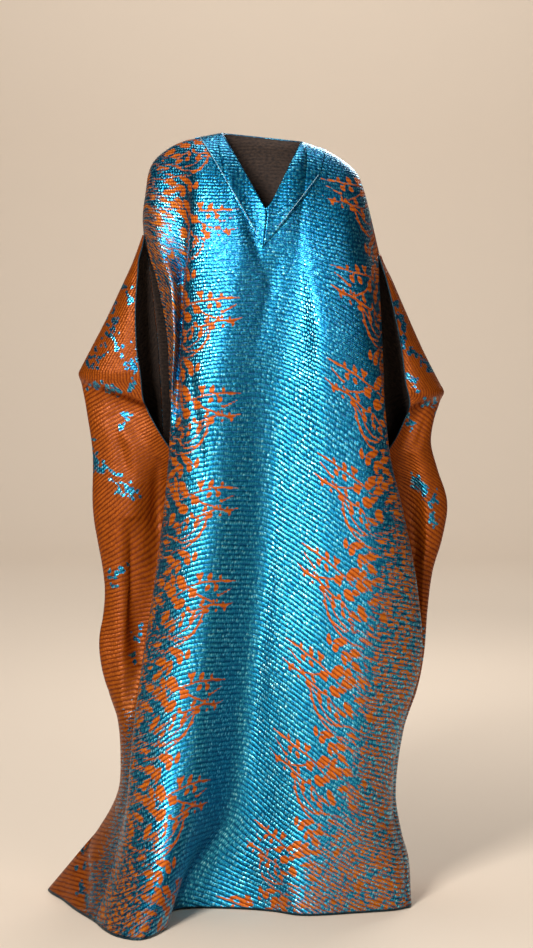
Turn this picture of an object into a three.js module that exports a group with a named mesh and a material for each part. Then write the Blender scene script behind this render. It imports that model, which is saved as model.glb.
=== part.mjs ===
// A wide kaftan with a V neck and open arm slits, hollow, as it hangs when it is worn.
// Millimetres, +Z up, the front faces -Y. The origin is where it rests on the shoulders:
// level with the higher neck point, midway between front and back.
import * as THREE from "three";

// ---- Driving sizes -------------------------------------------------------------------
const clothWall = 2;          // thickness of the woven cloth
const bandWall = 1.4;         // thickness of the neck band that lies on it
const seamGap = 0.3;          // between two pieces along a seam
const hemLevel = -1536;       // the hem just reaches the floor
const slitTop = { left: -206, right: -245 };
const slitEnd = -640;         // where each arm slit ends and the seam begins
const bandRows = 2;           // mesh rows under the neck band
const yokeRows = 6;           // mesh rows from the shoulder line down to the chest
const leastBand = 0.06;       // the band's part of the yoke rows where it runs out at the shoulder

// Levels of the mesh rows below the yoke. They lie closer at the elbow folds and the hem.
const rowLevels = [-400, -440, -475, -494, -510, -526, -545, -570, -600, slitEnd, -700, -760, -820, -880,
  -940, -1000, -1060, -1120, -1180, -1240, -1300, -1355, -1405, -1450, -1490, -1520, hemLevel];
const upperRows = 4;          // rows between the yoke and the first of these levels

// ---- Section tables ------------------------------------------------------------------
// A row for each level. x and y hold one value for each named fold, from left to right.
const frontFolds = ["leftEdge", "leftPipe", "leftDip", "toeFold", "toeFlank", "valley",
  "midRise", "midDip", "chestFold", "rightDip", "rightPipe", "rightEdge"];
const frontSections = [
  { z: -206, x: [-234, -214, -146, -118, -56, 0, 36, 66, 94, 154, 203, 231], y: [-1, -46, -70, -106, -130, -117, -111, -109, -110, -95, -54, 2] },
  { z: -250, x: [-224, -196, -152, -136, -50, 0, 38, 70, 98, 166, 204, 233], y: [-24, -68, -60, -112, -136, -124, -117, -114, -115, -102, -68, -2] },
  { z: -290, x: [-211, -178, -156, -143, -56, -2, 40, 72, 100, 172, 206, 233], y: [-40, -86, -54, -117, -140, -125, -117, -115, -121, -108, -86, -28] },
  { z: -400, x: [-189, -171, -159, -150, -78, -8, 44, 80, 116, 192, 220, 238], y: [-64, -98, -60, -112, -147, -128, -118, -124, -140, -122, -98, -54] },
  { z: -500, x: [-184, -176, -166, -152, -92, 10, 50, 82, 122, 208, 236, 242], y: [-66, -96, -76, -126, -152, -118, -120, -130, -143, -122, -98, -56] },
  { z: -640, x: [-176, -184, -168, -142, -90, 14, 50, 84, 124, 208, 252, 248], y: [-46, -90, -118, -144, -155, -112, -121, -131, -144, -132, -92, -42] },
  { z: -760, x: [-168, -197, -174, -144, -94, 8, 44, 82, 126, 215, 281, 264], y: [4, -80, -126, -150, -159, -110, -121, -132, -146, -142, -86, 4] },
  { z: -900, x: [-182, -215, -188, -154, -108, -4, 34, 72, 118, 220, 308, 286], y: [0, -88, -134, -158, -166, -108, -122, -133, -148, -148, -80, 4] },
  { z: -1050, x: [-206, -238, -202, -164, -118, -20, 22, 62, 110, 214, 317, 298], y: [-26, -108, -150, -170, -172, -104, -122, -137, -150, -152, -72, -4] },
  { z: -1200, x: [-240, -256, -216, -174, -130, -34, 10, 48, 98, 196, 272, 271], y: [-76, -130, -170, -188, -180, -100, -116, -133, -150, -154, -80, -36] },
  { z: -1350, x: [-272, -264, -228, -182, -142, -64, -8, 34, 86, 186, 247, 261], y: [-118, -168, -208, -232, -208, -106, -110, -130, -151, -152, -108, -70] },
  { z: -1450, x: [-294, -274, -242, -193, -160, -132, -56, 14, 76, 190, 262, 281], y: [-162, -216, -260, -286, -246, -109, -103, -130, -160, -148, -118, -86] },
  { z: -1536, x: [-322, -302, -270, -228, -186, -166, -52, 22, 78, 192, 266, 284], y: [-229, -290, -350, -374, -300, -118, -112, -136, -172, -148, -124, -108] },
];

// The back, from its left seam to its right one. The seams themselves are the wings' last fold,
// so the table holds only the folds between them.
const backFolds = ["leftSeam", "leftSide", "leftBlade", "leftRoll", "leftNeck", "spine",
  "rightNeck", "rightRoll", "rightBlade", "rightSide", "rightSeam"];
const backSections = [
  { z: -206, x: [-205, -160, -112, -65, 0, 64, 110, 158, 205], y: [56, 80, 90, 92, 88, 92, 90, 80, 52] },
  { z: -290, x: [-196, -152, -106, -62, 0, 62, 108, 154, 200], y: [82, 98, 106, 108, 100, 106, 104, 96, 78] },
  { z: -500, x: [-180, -142, -100, -58, 0, 58, 104, 148, 188], y: [112, 122, 136, 128, 118, 130, 134, 120, 106] },
  { z: -760, x: [-172, -138, -98, -58, 0, 60, 106, 150, 195], y: [140, 142, 170, 150, 138, 158, 166, 142, 134] },
  { z: -1050, x: [-180, -146, -102, -60, 0, 62, 110, 155, 198], y: [172, 168, 212, 180, 165, 192, 204, 168, 162] },
  { z: -1350, x: [-196, -158, -110, -64, 0, 64, 114, 160, 198], y: [205, 192, 248, 208, 192, 222, 236, 188, 182] },
  { z: -1536, x: [-250, -190, -128, -72, 0, 66, 118, 166, 206], y: [232, 212, 276, 226, 206, 240, 256, 200, 186] },
];

// The wings, from the free edge along the slit round the outer fold to the back seam. The free
// edge stands off the front's edge, so the tables hold the other folds.
const wingFolds = ["freeEdge", "recess", "frontLayer", "outerFold", "backLayer", "backSeam"];
const leftWingSections = [
  { z: -206, x: [-236, -237.5, -238.5, -238.5, -236.5], y: [2, 5, 9, 13, 18] },
  { z: -260, x: [-252, -256, -259, -252, -229], y: [-6, 0, 12, 32, 42] },
  { z: -315, x: [-264, -275, -285, -270, -222], y: [-14, -3, 20, 44, 57] },
  { z: -375, x: [-272, -294, -314, -292, -216], y: [-22, -8, 25, 54, 69] },
  { z: -430, x: [-280, -313, -343, -314, -211], y: [-28, -14, 28, 62, 79] },
  { z: -468, x: [-284, -326, -363, -328, -209], y: [-32, -18, 30, 66, 84] },
  { z: -482, x: [-284, -328, -369, -332, -208], y: [-33, -19, 30, 68, 86] },
  { z: -500, x: [-281, -325, -364, -332, -207], y: [-29, -16, 29, 68, 88] },
  { z: -560, x: [-268, -312, -352, -330, -204], y: [-14, -6, 25, 64, 94] },
  { z: -640, x: [-214, -276, -340, -324, -202], y: [-8, -8, 22, 62, 100] },
  { z: -760, x: [-204, -268, -339, -322, -200], y: [24, -10, 20, 64, 112] },
  { z: -910, x: [-215, -268, -316, -303, -200], y: [20, -6, 20, 68, 127] },
  { z: -1030, x: [-235, -280, -324, -308, -205], y: [8, -8, 20, 73, 140] },
  { z: -1120, x: [-250, -284, -309, -298, -210], y: [-15, -14, 14, 76, 149] },
  { z: -1180, x: [-259, -279, -290, -286, -215], y: [-36, -20, 6, 78, 156] },
  { z: -1260, x: [-270, -281, -285, -282, -221], y: [-55, -26, 2, 82, 164] },
  { z: -1330, x: [-282, -290, -292, -288, -230], y: [-70, -32, 8, 91, 174] },
  { z: -1405, x: [-303, -322, -333, -316, -243], y: [-90, -38, 28, 108, 183] },
  { z: -1450, x: [-322, -350, -369, -344, -256], y: [-104, -42, 45, 120, 189] },
  { z: -1536, x: [-366, -398, -438, -394, -300], y: [-129, -42, 74, 142, 200] },
];
const rightWingSections = [
  { z: -206, x: [233, 234, 235, 235, 233], y: [4, 6, 9, 12, 15] },
  { z: -245, x: [235.5, 237, 238, 238, 235], y: [3, 7, 12, 17, 23] },
  { z: -295, x: [254, 258, 261, 254, 228], y: [-5, 2, 14, 32, 42] },
  { z: -357, x: [271, 280, 288, 272, 222], y: [-14, -3, 18, 42, 57] },
  { z: -434, x: [289, 306, 323, 300, 216], y: [-22, -8, 22, 54, 72] },
  { z: -500, x: [306, 334, 357, 330, 213], y: [-28, -13, 29, 64, 83] },
  { z: -518, x: [311, 341, 366, 337, 212], y: [-30, -14, 30, 66, 86] },
  { z: -536, x: [309, 336, 359, 334, 212], y: [-22, -10, 29, 67, 88] },
  { z: -580, x: [300, 322, 345, 326, 212], y: [-8, -2, 28, 68, 94] },
  { z: -622, x: [282, 312, 340, 326, 214], y: [-2, 1, 29, 71, 98] },
  { z: -670, x: [275, 318, 352, 336, 221], y: [10, 4, 31, 74, 104] },
  { z: -740, x: [288, 331, 373, 352, 229], y: [26, 8, 32, 76, 111] },
  { z: -810, x: [299, 331, 364, 344, 230], y: [26, 11, 31, 77, 118] },
  { z: -880, x: [307, 326, 344, 329, 230], y: [25, 14, 30, 78, 125] },
  { z: -960, x: [311, 324, 334, 320, 229], y: [22, 16, 29, 80, 133] },
  { z: -1050, x: [311, 320, 327, 313, 228], y: [18, 18, 28, 82, 142] },
  { z: -1120, x: [299, 308, 313, 299, 226], y: [4, 10, 26, 83, 147] },
  { z: -1200, x: [279, 284, 284, 274, 222], y: [-20, -4, 22, 84, 152] },
  { z: -1320, x: [266, 268, 264, 256, 225], y: [-50, -26, 8, 81, 156] },
  { z: -1400, x: [277, 280, 278, 264, 228], y: [-62, -38, 2, 82, 158] },
  { z: -1450, x: [288, 293, 292, 276, 232], y: [-72, -46, 2, 84, 160] },
  { z: -1536, x: [294, 298, 297, 284, 238], y: [-98, -66, -8, 78, 162] },
];

// How far each wing's free edge stands off the front's edge. It is nothing below the slit.
const leftSlit = [
  { z: -206, x: -0.4, y: 0.9 }, { z: -230, x: -10, y: 6 }, { z: -260, x: -25, y: 17 },
  { z: -315, x: -44, y: 26 }, { z: -375, x: -58, y: 32 }, { z: -430, x: -62, y: 35 },
  { z: -482, x: -56, y: 34 }, { z: -540, x: -52, y: 36 }, { z: -590, x: -30, y: 24 }, { z: slitEnd, x: 0, y: 0 },
];
const rightSlit = [
  { z: -245, x: 0.4, y: 0.9 }, { z: -270, x: 8, y: 6 }, { z: -295, x: 15, y: 19 },
  { z: -357, x: 27, y: 24 }, { z: -434, x: 38, y: 31 }, { z: -498, x: 43, y: 30 },
  { z: -547, x: 50, y: 30 }, { z: -595, x: 30, y: 20 }, { z: slitEnd, x: 0, y: 0 },
];

// The crease across each wing at the elbow: the flap above hangs over the cloth below it.
// It reaches its depth within the drop, fades out below, and runs out just round the outer fold.
const elbowCrease = { depth: 24, drop: 16, fade: 100, roundFold: 0.6, depthAtFold: 0.35 };
const creaseLevel = { left: { slit: -536, corner: -484 }, right: { slit: -546, corner: -518 } };
const creaseRow = -510;       // the mesh row that follows the crease

// The shoulder line from each slit's top over the shoulder to the neck point.
const leftShoulder = [
  [-236.6, 7.5, -203], [-238, 9, -165], [-232, 11, -118], [-226, 12, -80], [-215, 12, -57],
  [-188, 10, -34], [-157, 6, -19], [-123, 3, -12], [-79, 0, -4]];
const rightShoulder = [
  [234.6, 9, -242], [217, 11, -167], [203, 12, -114], [190, 12, -83],
  [167, 10, -61], [129, 7, -38], [98, 3, -28], [78, 0, -21]];
// Where the front's and the back's folds start on it, from the slit (0) to the neck point (1).
const leftShoulderShares = [0, 0.3, 0.62, 0.84, 1];
const rightShoulderShares = [1, 0.72, 0.54, 0.28, 0];
const neckPointLeft = new THREE.Vector3(-79, 0, -4);
const neckPointRight = new THREE.Vector3(78, 0, -21);
const vPoint = new THREE.Vector3(10, -112, -164);
const vSlope = 78;            // degrees down from level in which the chest leaves the point of the V
const fanOut = 0.5;           // how far the cloth's run turns outward beside the neck points
const backNeck = { depth: 52, rise: 5, slope: 1.3 };   // its curve, and how steeply the cloth leaves it
const wingPeak = { rise: 3, drop: 1.2 };               // the wings' top row, under the shoulder line

// Where the yoke hands over to the level sections, one value for each front fold.
const yokeFoot = [-206, -226, -262, -290, -290, -290, -290, -290, -290, -286, -276, -245];
// The band's lower edge on the front: from the shoulder to below the V, as x and z.
const bandLineLeft = [{ x: -124, z: -12 }, { x: -4, z: -226 }];
const bandLineRight = [
  { x: 129, z: -54 }, { x: 109, z: -99 }, { x: 87, z: -133 }, { x: 48, z: -183 }, { x: 6, z: -230 }];
const backBandWidth = 40;
const yokeFullness = { top: 0.24, foot: 0.42 };   // how far the cloth goes on level, and upright, round the shoulder

// The folds at which the neck edge and the neck bands begin and end.
const neckFolds = {
  front: {
    folds: frontFolds, bandStart: "toeFold", left: "toeFlank", centre: "valley", right: "midDip", bandEnd: "chestFold",
  },
  back: {
    folds: backFolds, bandStart: "leftRoll", left: "leftNeck", centre: "spine", right: "rightNeck", bandEnd: "rightRoll",
  },
};
const neckAt = (piece, place) => neckFolds[piece].folds.indexOf(neckFolds[piece][place]);
const outerFold = wingFolds.indexOf("outerFold");
const wingLast = wingFolds.length - 1;

// ---- Curves --------------------------------------------------------------------------
// A smooth value through table rows whose levels fall from row to row.
function atLevel(levels, values, level) {
  const last = levels.length - 1;
  const z = Math.min(levels[0], Math.max(levels[last], level));
  let row = 0;
  while (row < last - 1 && z < levels[row + 1]) row += 1;
  const slope = (i) => {
    const before = Math.max(0, i - 1);
    const after = Math.min(last, i + 1);
    return (values[after] - values[before]) / (levels[after] - levels[before]);
  };
  const span = levels[row + 1] - levels[row];
  const f = (z - levels[row]) / span;
  const ease = f * f * (3 - 2 * f);
  return values[row] + (values[row + 1] - values[row]) * ease
    + span * (slope(row) * f * (1 - f) * (1 - f) - slope(row + 1) * f * f * (1 - f));
}

// A table read at one level: its folds as points in plan.
function readTable(table, level) {
  const levels = table.map((row) => row.z);
  return table[0].x.map((_, fold) => new THREE.Vector2(
    atLevel(levels, table.map((row) => row.x[fold]), level),
    atLevel(levels, table.map((row) => row.y[fold]), level)));
}

function slitStep(table, level) {
  const levels = table.map((row) => row.z);
  if (level <= slitEnd) return new THREE.Vector2(0, 0);
  return new THREE.Vector2(
    atLevel(levels, table.map((row) => row.x), level),
    atLevel(levels, table.map((row) => row.y), level));
}

// A centripetal curve through points in plan. The first and last point only steer its ends.
function planCurve(points, along) {
  const count = points.length - 2;
  const part = Math.min(count - 2, Math.max(0, Math.floor(along)));
  const f = along - part;
  const [p0, p1, p2, p3] = points.slice(part, part + 4);
  const step = (a, b) => Math.sqrt(Math.max(a.distanceTo(b), 0.01));
  const [d0, d1, d2] = [step(p0, p1), step(p1, p2), step(p2, p3)];
  const tangent = (a, b, c, da, db) => b.clone().sub(a).multiplyScalar(db / da)
    .add(c.clone().sub(b).multiplyScalar(da / db)).divideScalar(da + db).multiplyScalar(d1);
  const m1 = tangent(p0, p1, p2, d0, d1);
  const m2 = tangent(p1, p2, p3, d1, d2);
  const h = [2 * f ** 3 - 3 * f ** 2 + 1, f ** 3 - 2 * f ** 2 + f, 3 * f ** 2 - 2 * f ** 3, f ** 3 - f ** 2];
  const g = [6 * f ** 2 - 6 * f, 3 * f ** 2 - 4 * f + 1, 6 * f - 6 * f ** 2, 3 * f ** 2 - 2 * f];
  const mix = (w) => p1.clone().multiplyScalar(w[0]).addScaledVector(m1, w[1])
    .addScaledVector(p2, w[2]).addScaledVector(m2, w[3]);
  return { point: mix(h), tangent: mix(g) };
}

function lineCurve(points, share) {
  const curve = new THREE.CatmullRomCurve3(points.map((p) => new THREE.Vector3(...p)), false, "centripetal");
  return curve.getPoint(share);
}

function readShares(shares, along) {
  const part = Math.min(shares.length - 2, Math.floor(along));
  return shares[part] + (shares[part + 1] - shares[part]) * (along - part);
}

// ---- The worn surfaces, each as (fold position, level) ---------------------------------
function sectionsAt(level) {
  const front = readTable(frontSections, level);
  const leftWing = readTable(leftWingSections, level);
  const rightWing = readTable(rightWingSections, level);
  const back = readTable(backSections, level);
  const leftFree = front[0].clone().add(slitStep(leftSlit, level));
  const rightFree = front[front.length - 1].clone().add(slitStep(rightSlit, level));
  return { front, back, leftWing: [leftFree, ...leftWing], rightWing: [rightFree, ...rightWing] };
}

function planPoints(piece, level) {
  const s = sectionsAt(level);
  const frontLast = s.front.length - 1;
  if (piece === "front") return [s.leftWing[1], ...s.front, s.rightWing[1]];
  if (piece === "back") {
    return [s.leftWing[wingLast - 1], s.leftWing[wingLast], ...s.back, s.rightWing[wingLast], s.rightWing[wingLast - 1]];
  }
  if (piece === "leftWing") return [s.front[1], ...s.leftWing, s.back[0]];
  return [s.front[frontLast - 1], ...s.rightWing, s.back[s.back.length - 1]];
}

// The elbow crease pushes the wing's front layer back just under the crease line.
function creaseShift(side, along, level) {
  if (along >= outerFold + elbowCrease.roundFold) return 0;
  const across = Math.min(1, along / outerFold);
  const crease = creaseLevel[side].slit + (creaseLevel[side].corner - creaseLevel[side].slit) * across;
  const below = crease - level;
  if (below <= 0 || below >= elbowCrease.drop + elbowCrease.fade) return 0;
  const rise = Math.min(1, below / elbowCrease.drop);
  const fall = Math.max(0, (below - elbowCrease.drop) / elbowCrease.fade);
  const soft = (v) => v * v * (3 - 2 * v);
  const ahead = Math.min(1, elbowCrease.depthAtFold + 2 * (1 - elbowCrease.depthAtFold) * (1 - across));
  const behind = elbowCrease.depthAtFold * (1 - (along - outerFold) / elbowCrease.roundFold);
  return elbowCrease.depth * (across < 1 ? ahead : behind) * soft(rise) * (1 - soft(fall));
}

function levelPoint(piece, along, level) {
  const { point, tangent } = planCurve(planPoints(piece, level), along);
  const side = piece === "leftWing" ? "left" : "right";
  const shift = piece.endsWith("Wing") ? creaseShift(side, along, level) : 0;
  return { point: new THREE.Vector3(point.x, point.y + shift, level), across: new THREE.Vector3(tangent.x, tangent.y, 0) };
}

function levelFrame(piece, along, level) {
  const here = levelPoint(piece, along, level);
  const reach = 2;
  const above = levelPoint(piece, along, Math.min(level + reach, slitTop.left)).point;
  const below = levelPoint(piece, along, Math.max(level - reach, hemLevel)).point;
  return { point: here.point, across: here.across, down: below.sub(above) };
}

// The top edge of the front or the back at a fold position, and the way the cloth leaves it.
function topEdge(piece, along) {
  const front = piece === "front";
  const neckStart = neckAt(piece, "left");
  const neckEnd = neckAt(piece, "right");
  const centre = neckAt(piece, "centre");
  const toLeft = along < centre;
  const fan = front ? fanOut * Math.max(0, 1 - Math.abs(along - (toLeft ? neckStart : neckEnd))) : 0;
  const shoulderWay = toLeft ? new THREE.Vector3(-1, 0, -0.2) : new THREE.Vector3(1, 0, -0.35);
  const leave = new THREE.Vector3(0, front ? -1 : 1, 0).addScaledVector(shoulderWay, fan).normalize();
  if (along <= neckStart) {
    return { point: lineCurve(leftShoulder, readShares(leftShoulderShares, along)), leave };
  }
  if (along >= neckEnd) {
    return { point: lineCurve(rightShoulder, readShares(rightShoulderShares, along - neckEnd)), leave };
  }
  if (!front) {
    const share = (along - neckStart) / (neckEnd - neckStart);
    const bow = Math.sin(Math.PI * share);
    const point = neckPointLeft.clone().lerp(neckPointRight, (1 - Math.cos(Math.PI * share)) / 2);
    point.y += backNeck.depth * bow;
    point.z += backNeck.rise * bow;
    return { point, leave: new THREE.Vector3(0, 1, -backNeck.slope * bow).normalize() };
  }
  const share = toLeft ? along - neckStart : (neckEnd - along) / (neckEnd - centre);
  const neckPoint = toLeft ? neckPointLeft : neckPointRight;
  const point = neckPoint.clone().lerp(vPoint, share * share);
  point.y = vPoint.y * share;
  const slope = THREE.MathUtils.degToRad(vSlope) * share ** 0.75;
  const down = new THREE.Vector3(0, -Math.cos(slope), -Math.sin(slope));
  return { point, leave: down.addScaledVector(shoulderWay, fan).normalize() };
}

// The back has one fold fewer than the front, at its middle.
function footLevel(piece, along) {
  const feet = piece === "front" ? yokeFoot : yokeFoot.toSpliced(neckAt("front", "centre"), 1);
  return readShares(feet, Math.min(along, feet.length - 1 - 1e-6));
}

// The yoke: from the shoulder line or the neck edge down to the first level section.
function yokePoint(piece, along, share) {
  const top = topEdge(piece, along);
  const level = footLevel(piece, along);
  const foot = levelFrame(piece, along, level);
  const reach = top.point.distanceTo(foot.point);
  const start = top.point.clone().addScaledVector(top.leave, seamGap / 2);
  const up = foot.down.clone().normalize().negate();
  const curve = new THREE.CubicBezierCurve3(
    start, start.clone().addScaledVector(top.leave, reach * yokeFullness.top),
    foot.point.clone().addScaledVector(up, reach * yokeFullness.foot), foot.point);
  return curve.getPoint(share);
}

function yokeFrame(piece, along, share, lastFold) {
  const stepAlong = 0.02;
  const stepShare = 0.01;
  const left = yokePoint(piece, Math.max(0, along - stepAlong), share);
  const right = yokePoint(piece, Math.min(lastFold, along + stepAlong), share);
  const above = yokePoint(piece, along, Math.max(0, share - stepShare));
  const below = yokePoint(piece, along, Math.min(1, share + stepShare));
  return { point: yokePoint(piece, along, share), across: right.sub(left), down: below.sub(above) };
}

// The x of a line of points at a level, carried on straight past its ends.
function lineAt(line, level) {
  let part = 0;
  while (part < line.length - 2 && level < line[part + 1].z) part += 1;
  const [a, b] = [line[part], line[part + 1]];
  return a.x + (b.x - a.x) * ((level - a.z) / (b.z - a.z));
}

// How much of the yoke the neck band covers at a fold position.
function bandShare(piece, along) {
  const first = neckAt(piece, "bandStart");
  const last = neckAt(piece, "bandEnd");
  if (along < first || along > last) return leastBand;
  const inside = (share) => {
    const p = yokePoint(piece, along, share);
    if (piece === "back") return p.distanceTo(topEdge(piece, along).point) < backBandWidth;
    return along <= neckAt(piece, "centre") ? p.x > lineAt(bandLineLeft, p.z) : p.x < lineAt(bandLineRight, p.z);
  };
  const halvings = 24;
  let low = 0;
  let high = 1;
  for (let i = 0; i < halvings; i += 1) {
    const mid = (low + high) / 2;
    if (inside(mid)) low = mid;
    else high = mid;
  }
  const fadeIn = piece === "back" ? Math.min(1, along - first, last - along) : 1;
  return Math.max(leastBand, low * fadeIn);
}

// ---- Mesh grids ----------------------------------------------------------------------
// Fold positions of the mesh columns, from the number of columns between each two folds.
function columnsFrom(counts) {
  const columns = [];
  counts.forEach((count, fold) => {
    for (let i = 0; i < count; i += 1) columns.push(fold + i / count);
  });
  return [...columns, counts.length];
}

function rowsBelow(startLevel) {
  const upper = Array.from({ length: upperRows }, (_, i) => startLevel + (rowLevels[0] - startLevel) * (i / upperRows));
  return [...upper, ...rowLevels];
}

// Puts a frame into the grid: the point, pulled in at a seam, and the way the cloth faces.
function place(frame, facing, pull) {
  const normal = frame.across.clone().cross(frame.down).multiplyScalar(facing).normalize();
  const point = frame.point.clone().addScaledVector(frame.across.clone().normalize(), pull);
  return { point, normal };
}

function seamPull(column, columns) {
  if (column === 0) return seamGap / 2;
  return column === columns.length - 1 ? -seamGap / 2 : 0;
}

function panelGrid(piece, counts, facing) {
  const columns = columnsFrom(counts);
  return columns.map((along, column) => {
    const pull = seamPull(column, columns);
    const band = bandShare(piece, along);
    const cells = [];
    for (let row = 0; row < yokeRows; row += 1) {
      const share = row <= bandRows ? band * (row / bandRows)
        : band + (1 - band) * ((row - bandRows) / (yokeRows - bandRows));
      cells.push(place(yokeFrame(piece, along, share, counts.length), facing, pull));
    }
    for (const level of rowsBelow(footLevel(piece, along))) {
      cells.push(place(levelFrame(piece, along, level), facing, pull));
    }
    return cells;
  });
}

// Bends the rows near the elbow so that one of them lies along the crease.
function bentLevel(side, along, level) {
  const crease = creaseLevel[side];
  const line = along <= outerFold ? crease.slit + (crease.corner - crease.slit) * (along / outerFold)
    : creaseRow + (crease.corner - creaseRow) * ((wingLast - along) / (wingLast - outerFold));
  const reach = level > creaseRow ? rowLevels[0] - creaseRow : creaseRow - slitEnd;
  const weight = Math.max(0, 1 - Math.abs(level - creaseRow) / reach);
  return level + (line - creaseRow) * weight;
}

function wingGrid(piece, counts, facing, top) {
  const columns = columnsFrom(counts);
  const levels = rowsBelow(top);
  const side = piece === "leftWing" ? "left" : "right";
  return columns.map((along, column) => levels.map((level, row) => {
    const arch = Math.sin((Math.PI * column) / (columns.length - 1));
    const lift = row === 0 ? wingPeak.rise * arch - wingPeak.drop : 0;
    const frame = levelFrame(piece, along, bentLevel(side, along, level));
    frame.point.z += lift;
    return place(frame, facing, seamPull(column, columns));
  }));
}

// A closed wall from a grid: an outer and an inner skin joined round the rim.
function wallGeometry(grid, outer, inner) {
  const columns = grid.length;
  const rows = grid[0].length;
  const positions = [];
  for (const offset of [outer, inner]) {
    for (const column of grid) {
      for (const cell of column) {
        positions.push(...cell.point.clone().addScaledVector(cell.normal, offset).toArray());
      }
    }
  }
  const skin = columns * rows;
  const at = (column, row, side) => side * skin + column * rows + row;
  const index = [];
  for (let c = 0; c < columns - 1; c += 1) {
    for (let r = 0; r < rows - 1; r += 1) {
      const across = grid[c][r].point.distanceTo(grid[c + 1][r + 1].point);
      const other = grid[c][r + 1].point.distanceTo(grid[c + 1][r].point);
      for (const side of [0, 1]) {
        const corners = [at(c, r, side), at(c, r + 1, side), at(c + 1, r + 1, side), at(c + 1, r, side)];
        const start = across <= other ? 0 : 1;
        const [i, j, k, l] = [0, 1, 2, 3].map((n) => corners[(n + start) % 4]);
        index.push(...(side === 0 ? [i, j, k, i, k, l] : [i, k, j, i, l, k]));
      }
    }
  }
  const rim = [];
  for (let c = 0; c < columns - 1; c += 1) rim.push([c, rows - 1]);
  for (let r = rows - 1; r > 0; r -= 1) rim.push([columns - 1, r]);
  for (let c = columns - 1; c > 0; c -= 1) rim.push([c, 0]);
  for (let r = 0; r < rows - 1; r += 1) rim.push([0, r]);
  rim.forEach(([c, r], i) => {
    const [nc, nr] = rim[(i + 1) % rim.length];
    index.push(at(c, r, 0), at(c, r, 1), at(nc, nr, 1), at(c, r, 0), at(nc, nr, 1), at(nc, nr, 0));
  });
  const geometry = new THREE.BufferGeometry();
  geometry.setAttribute("position", new THREE.Float32BufferAttribute(positions, 3));
  geometry.setIndex(index);
  return turnedOut(geometry);
}

// Turns every face round when the closed mesh comes out inside out.
function turnedOut(geometry) {
  const position = geometry.attributes.position;
  const index = Array.from(geometry.index.array);
  let volume = 0;
  for (let i = 0; i < index.length; i += 3) {
    const [a, b, c] = [0, 1, 2].map((n) => new THREE.Vector3().fromBufferAttribute(position, index[i + n]));
    volume += a.dot(b.cross(c));
  }
  if (volume < 0) geometry.setIndex(index.map((_, i) => index[i - (i % 3) + [0, 2, 1][i % 3]]));
  geometry.computeVertexNormals();
  return geometry;
}

// ---- The garment ---------------------------------------------------------------------
const weave = new THREE.MeshStandardMaterial({ color: 0x1a86a8, roughness: 0.4, metalness: 0.5 });
const bandCloth = new THREE.MeshStandardMaterial({ color: 0x14789a, roughness: 0.4, metalness: 0.5 });
const wingCloth = new THREE.MeshStandardMaterial({ color: 0xc9541a, roughness: 0.45, metalness: 0.3 });

const kaftan = new THREE.Group();
function addPiece(name, geometry, material) {
  const mesh = new THREE.Mesh(geometry, material);
  mesh.name = name;
  kaftan.add(mesh);
}

const shoulderColumns = [2, 3, 2, 4];
const otherShoulder = shoulderColumns.toReversed();
const frontCounts = [...shoulderColumns, 5, 3, 3, ...otherShoulder];
const backCounts = [...shoulderColumns, 2, 2, ...otherShoulder];
const wingCounts = [2, 3, 4, 3, 2];
const frontGrid = panelGrid("front", frontCounts, -1);
const backGrid = panelGrid("back", backCounts, 1);

addPiece("front_panel", wallGeometry(frontGrid, 0, -clothWall), weave);
addPiece("back_panel", wallGeometry(backGrid, 0, -clothWall), weave);
addPiece("side_wing_left", wallGeometry(wingGrid("leftWing", wingCounts, 1, slitTop.left), 0, -clothWall), wingCloth);
addPiece("side_wing_right", wallGeometry(wingGrid("rightWing", wingCounts, -1, slitTop.right), 0, -clothWall), wingCloth);

// The bands are the panels' own points under them, moved out.
function bandGrid(grid, from, to) {
  const part = grid.slice(from, to + 1).map((column) => column.slice(0, bandRows + 1));
  const ends = [[0, 1], [part.length - 1, part.length - 2]];
  for (const [end, next] of ends) {
    part[end] = part[end].map((cell, row) => {
      const inward = part[next][row].point.clone().sub(cell.point).normalize();
      return { point: cell.point.clone().addScaledVector(inward, seamGap / 2), normal: cell.normal };
    });
  }
  return part;
}

function columnAt(piece, place) {
  const counts = piece === "front" ? frontCounts : backCounts;
  return counts.slice(0, neckAt(piece, place)).reduce((sum, count) => sum + count, 0);
}
const lift = [seamGap + bandWall, seamGap];
addPiece("neck_band_left", wallGeometry(
  bandGrid(frontGrid, columnAt("front", "bandStart"), columnAt("front", "centre")), ...lift), bandCloth);
addPiece("neck_band_right", wallGeometry(
  bandGrid(frontGrid, columnAt("front", "centre"), columnAt("front", "bandEnd")), ...lift), bandCloth);
addPiece("neck_band_back", wallGeometry(
  bandGrid(backGrid, columnAt("back", "bandStart"), columnAt("back", "bandEnd")), ...lift), bandCloth);

export default kaftan;
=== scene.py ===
import math

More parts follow.
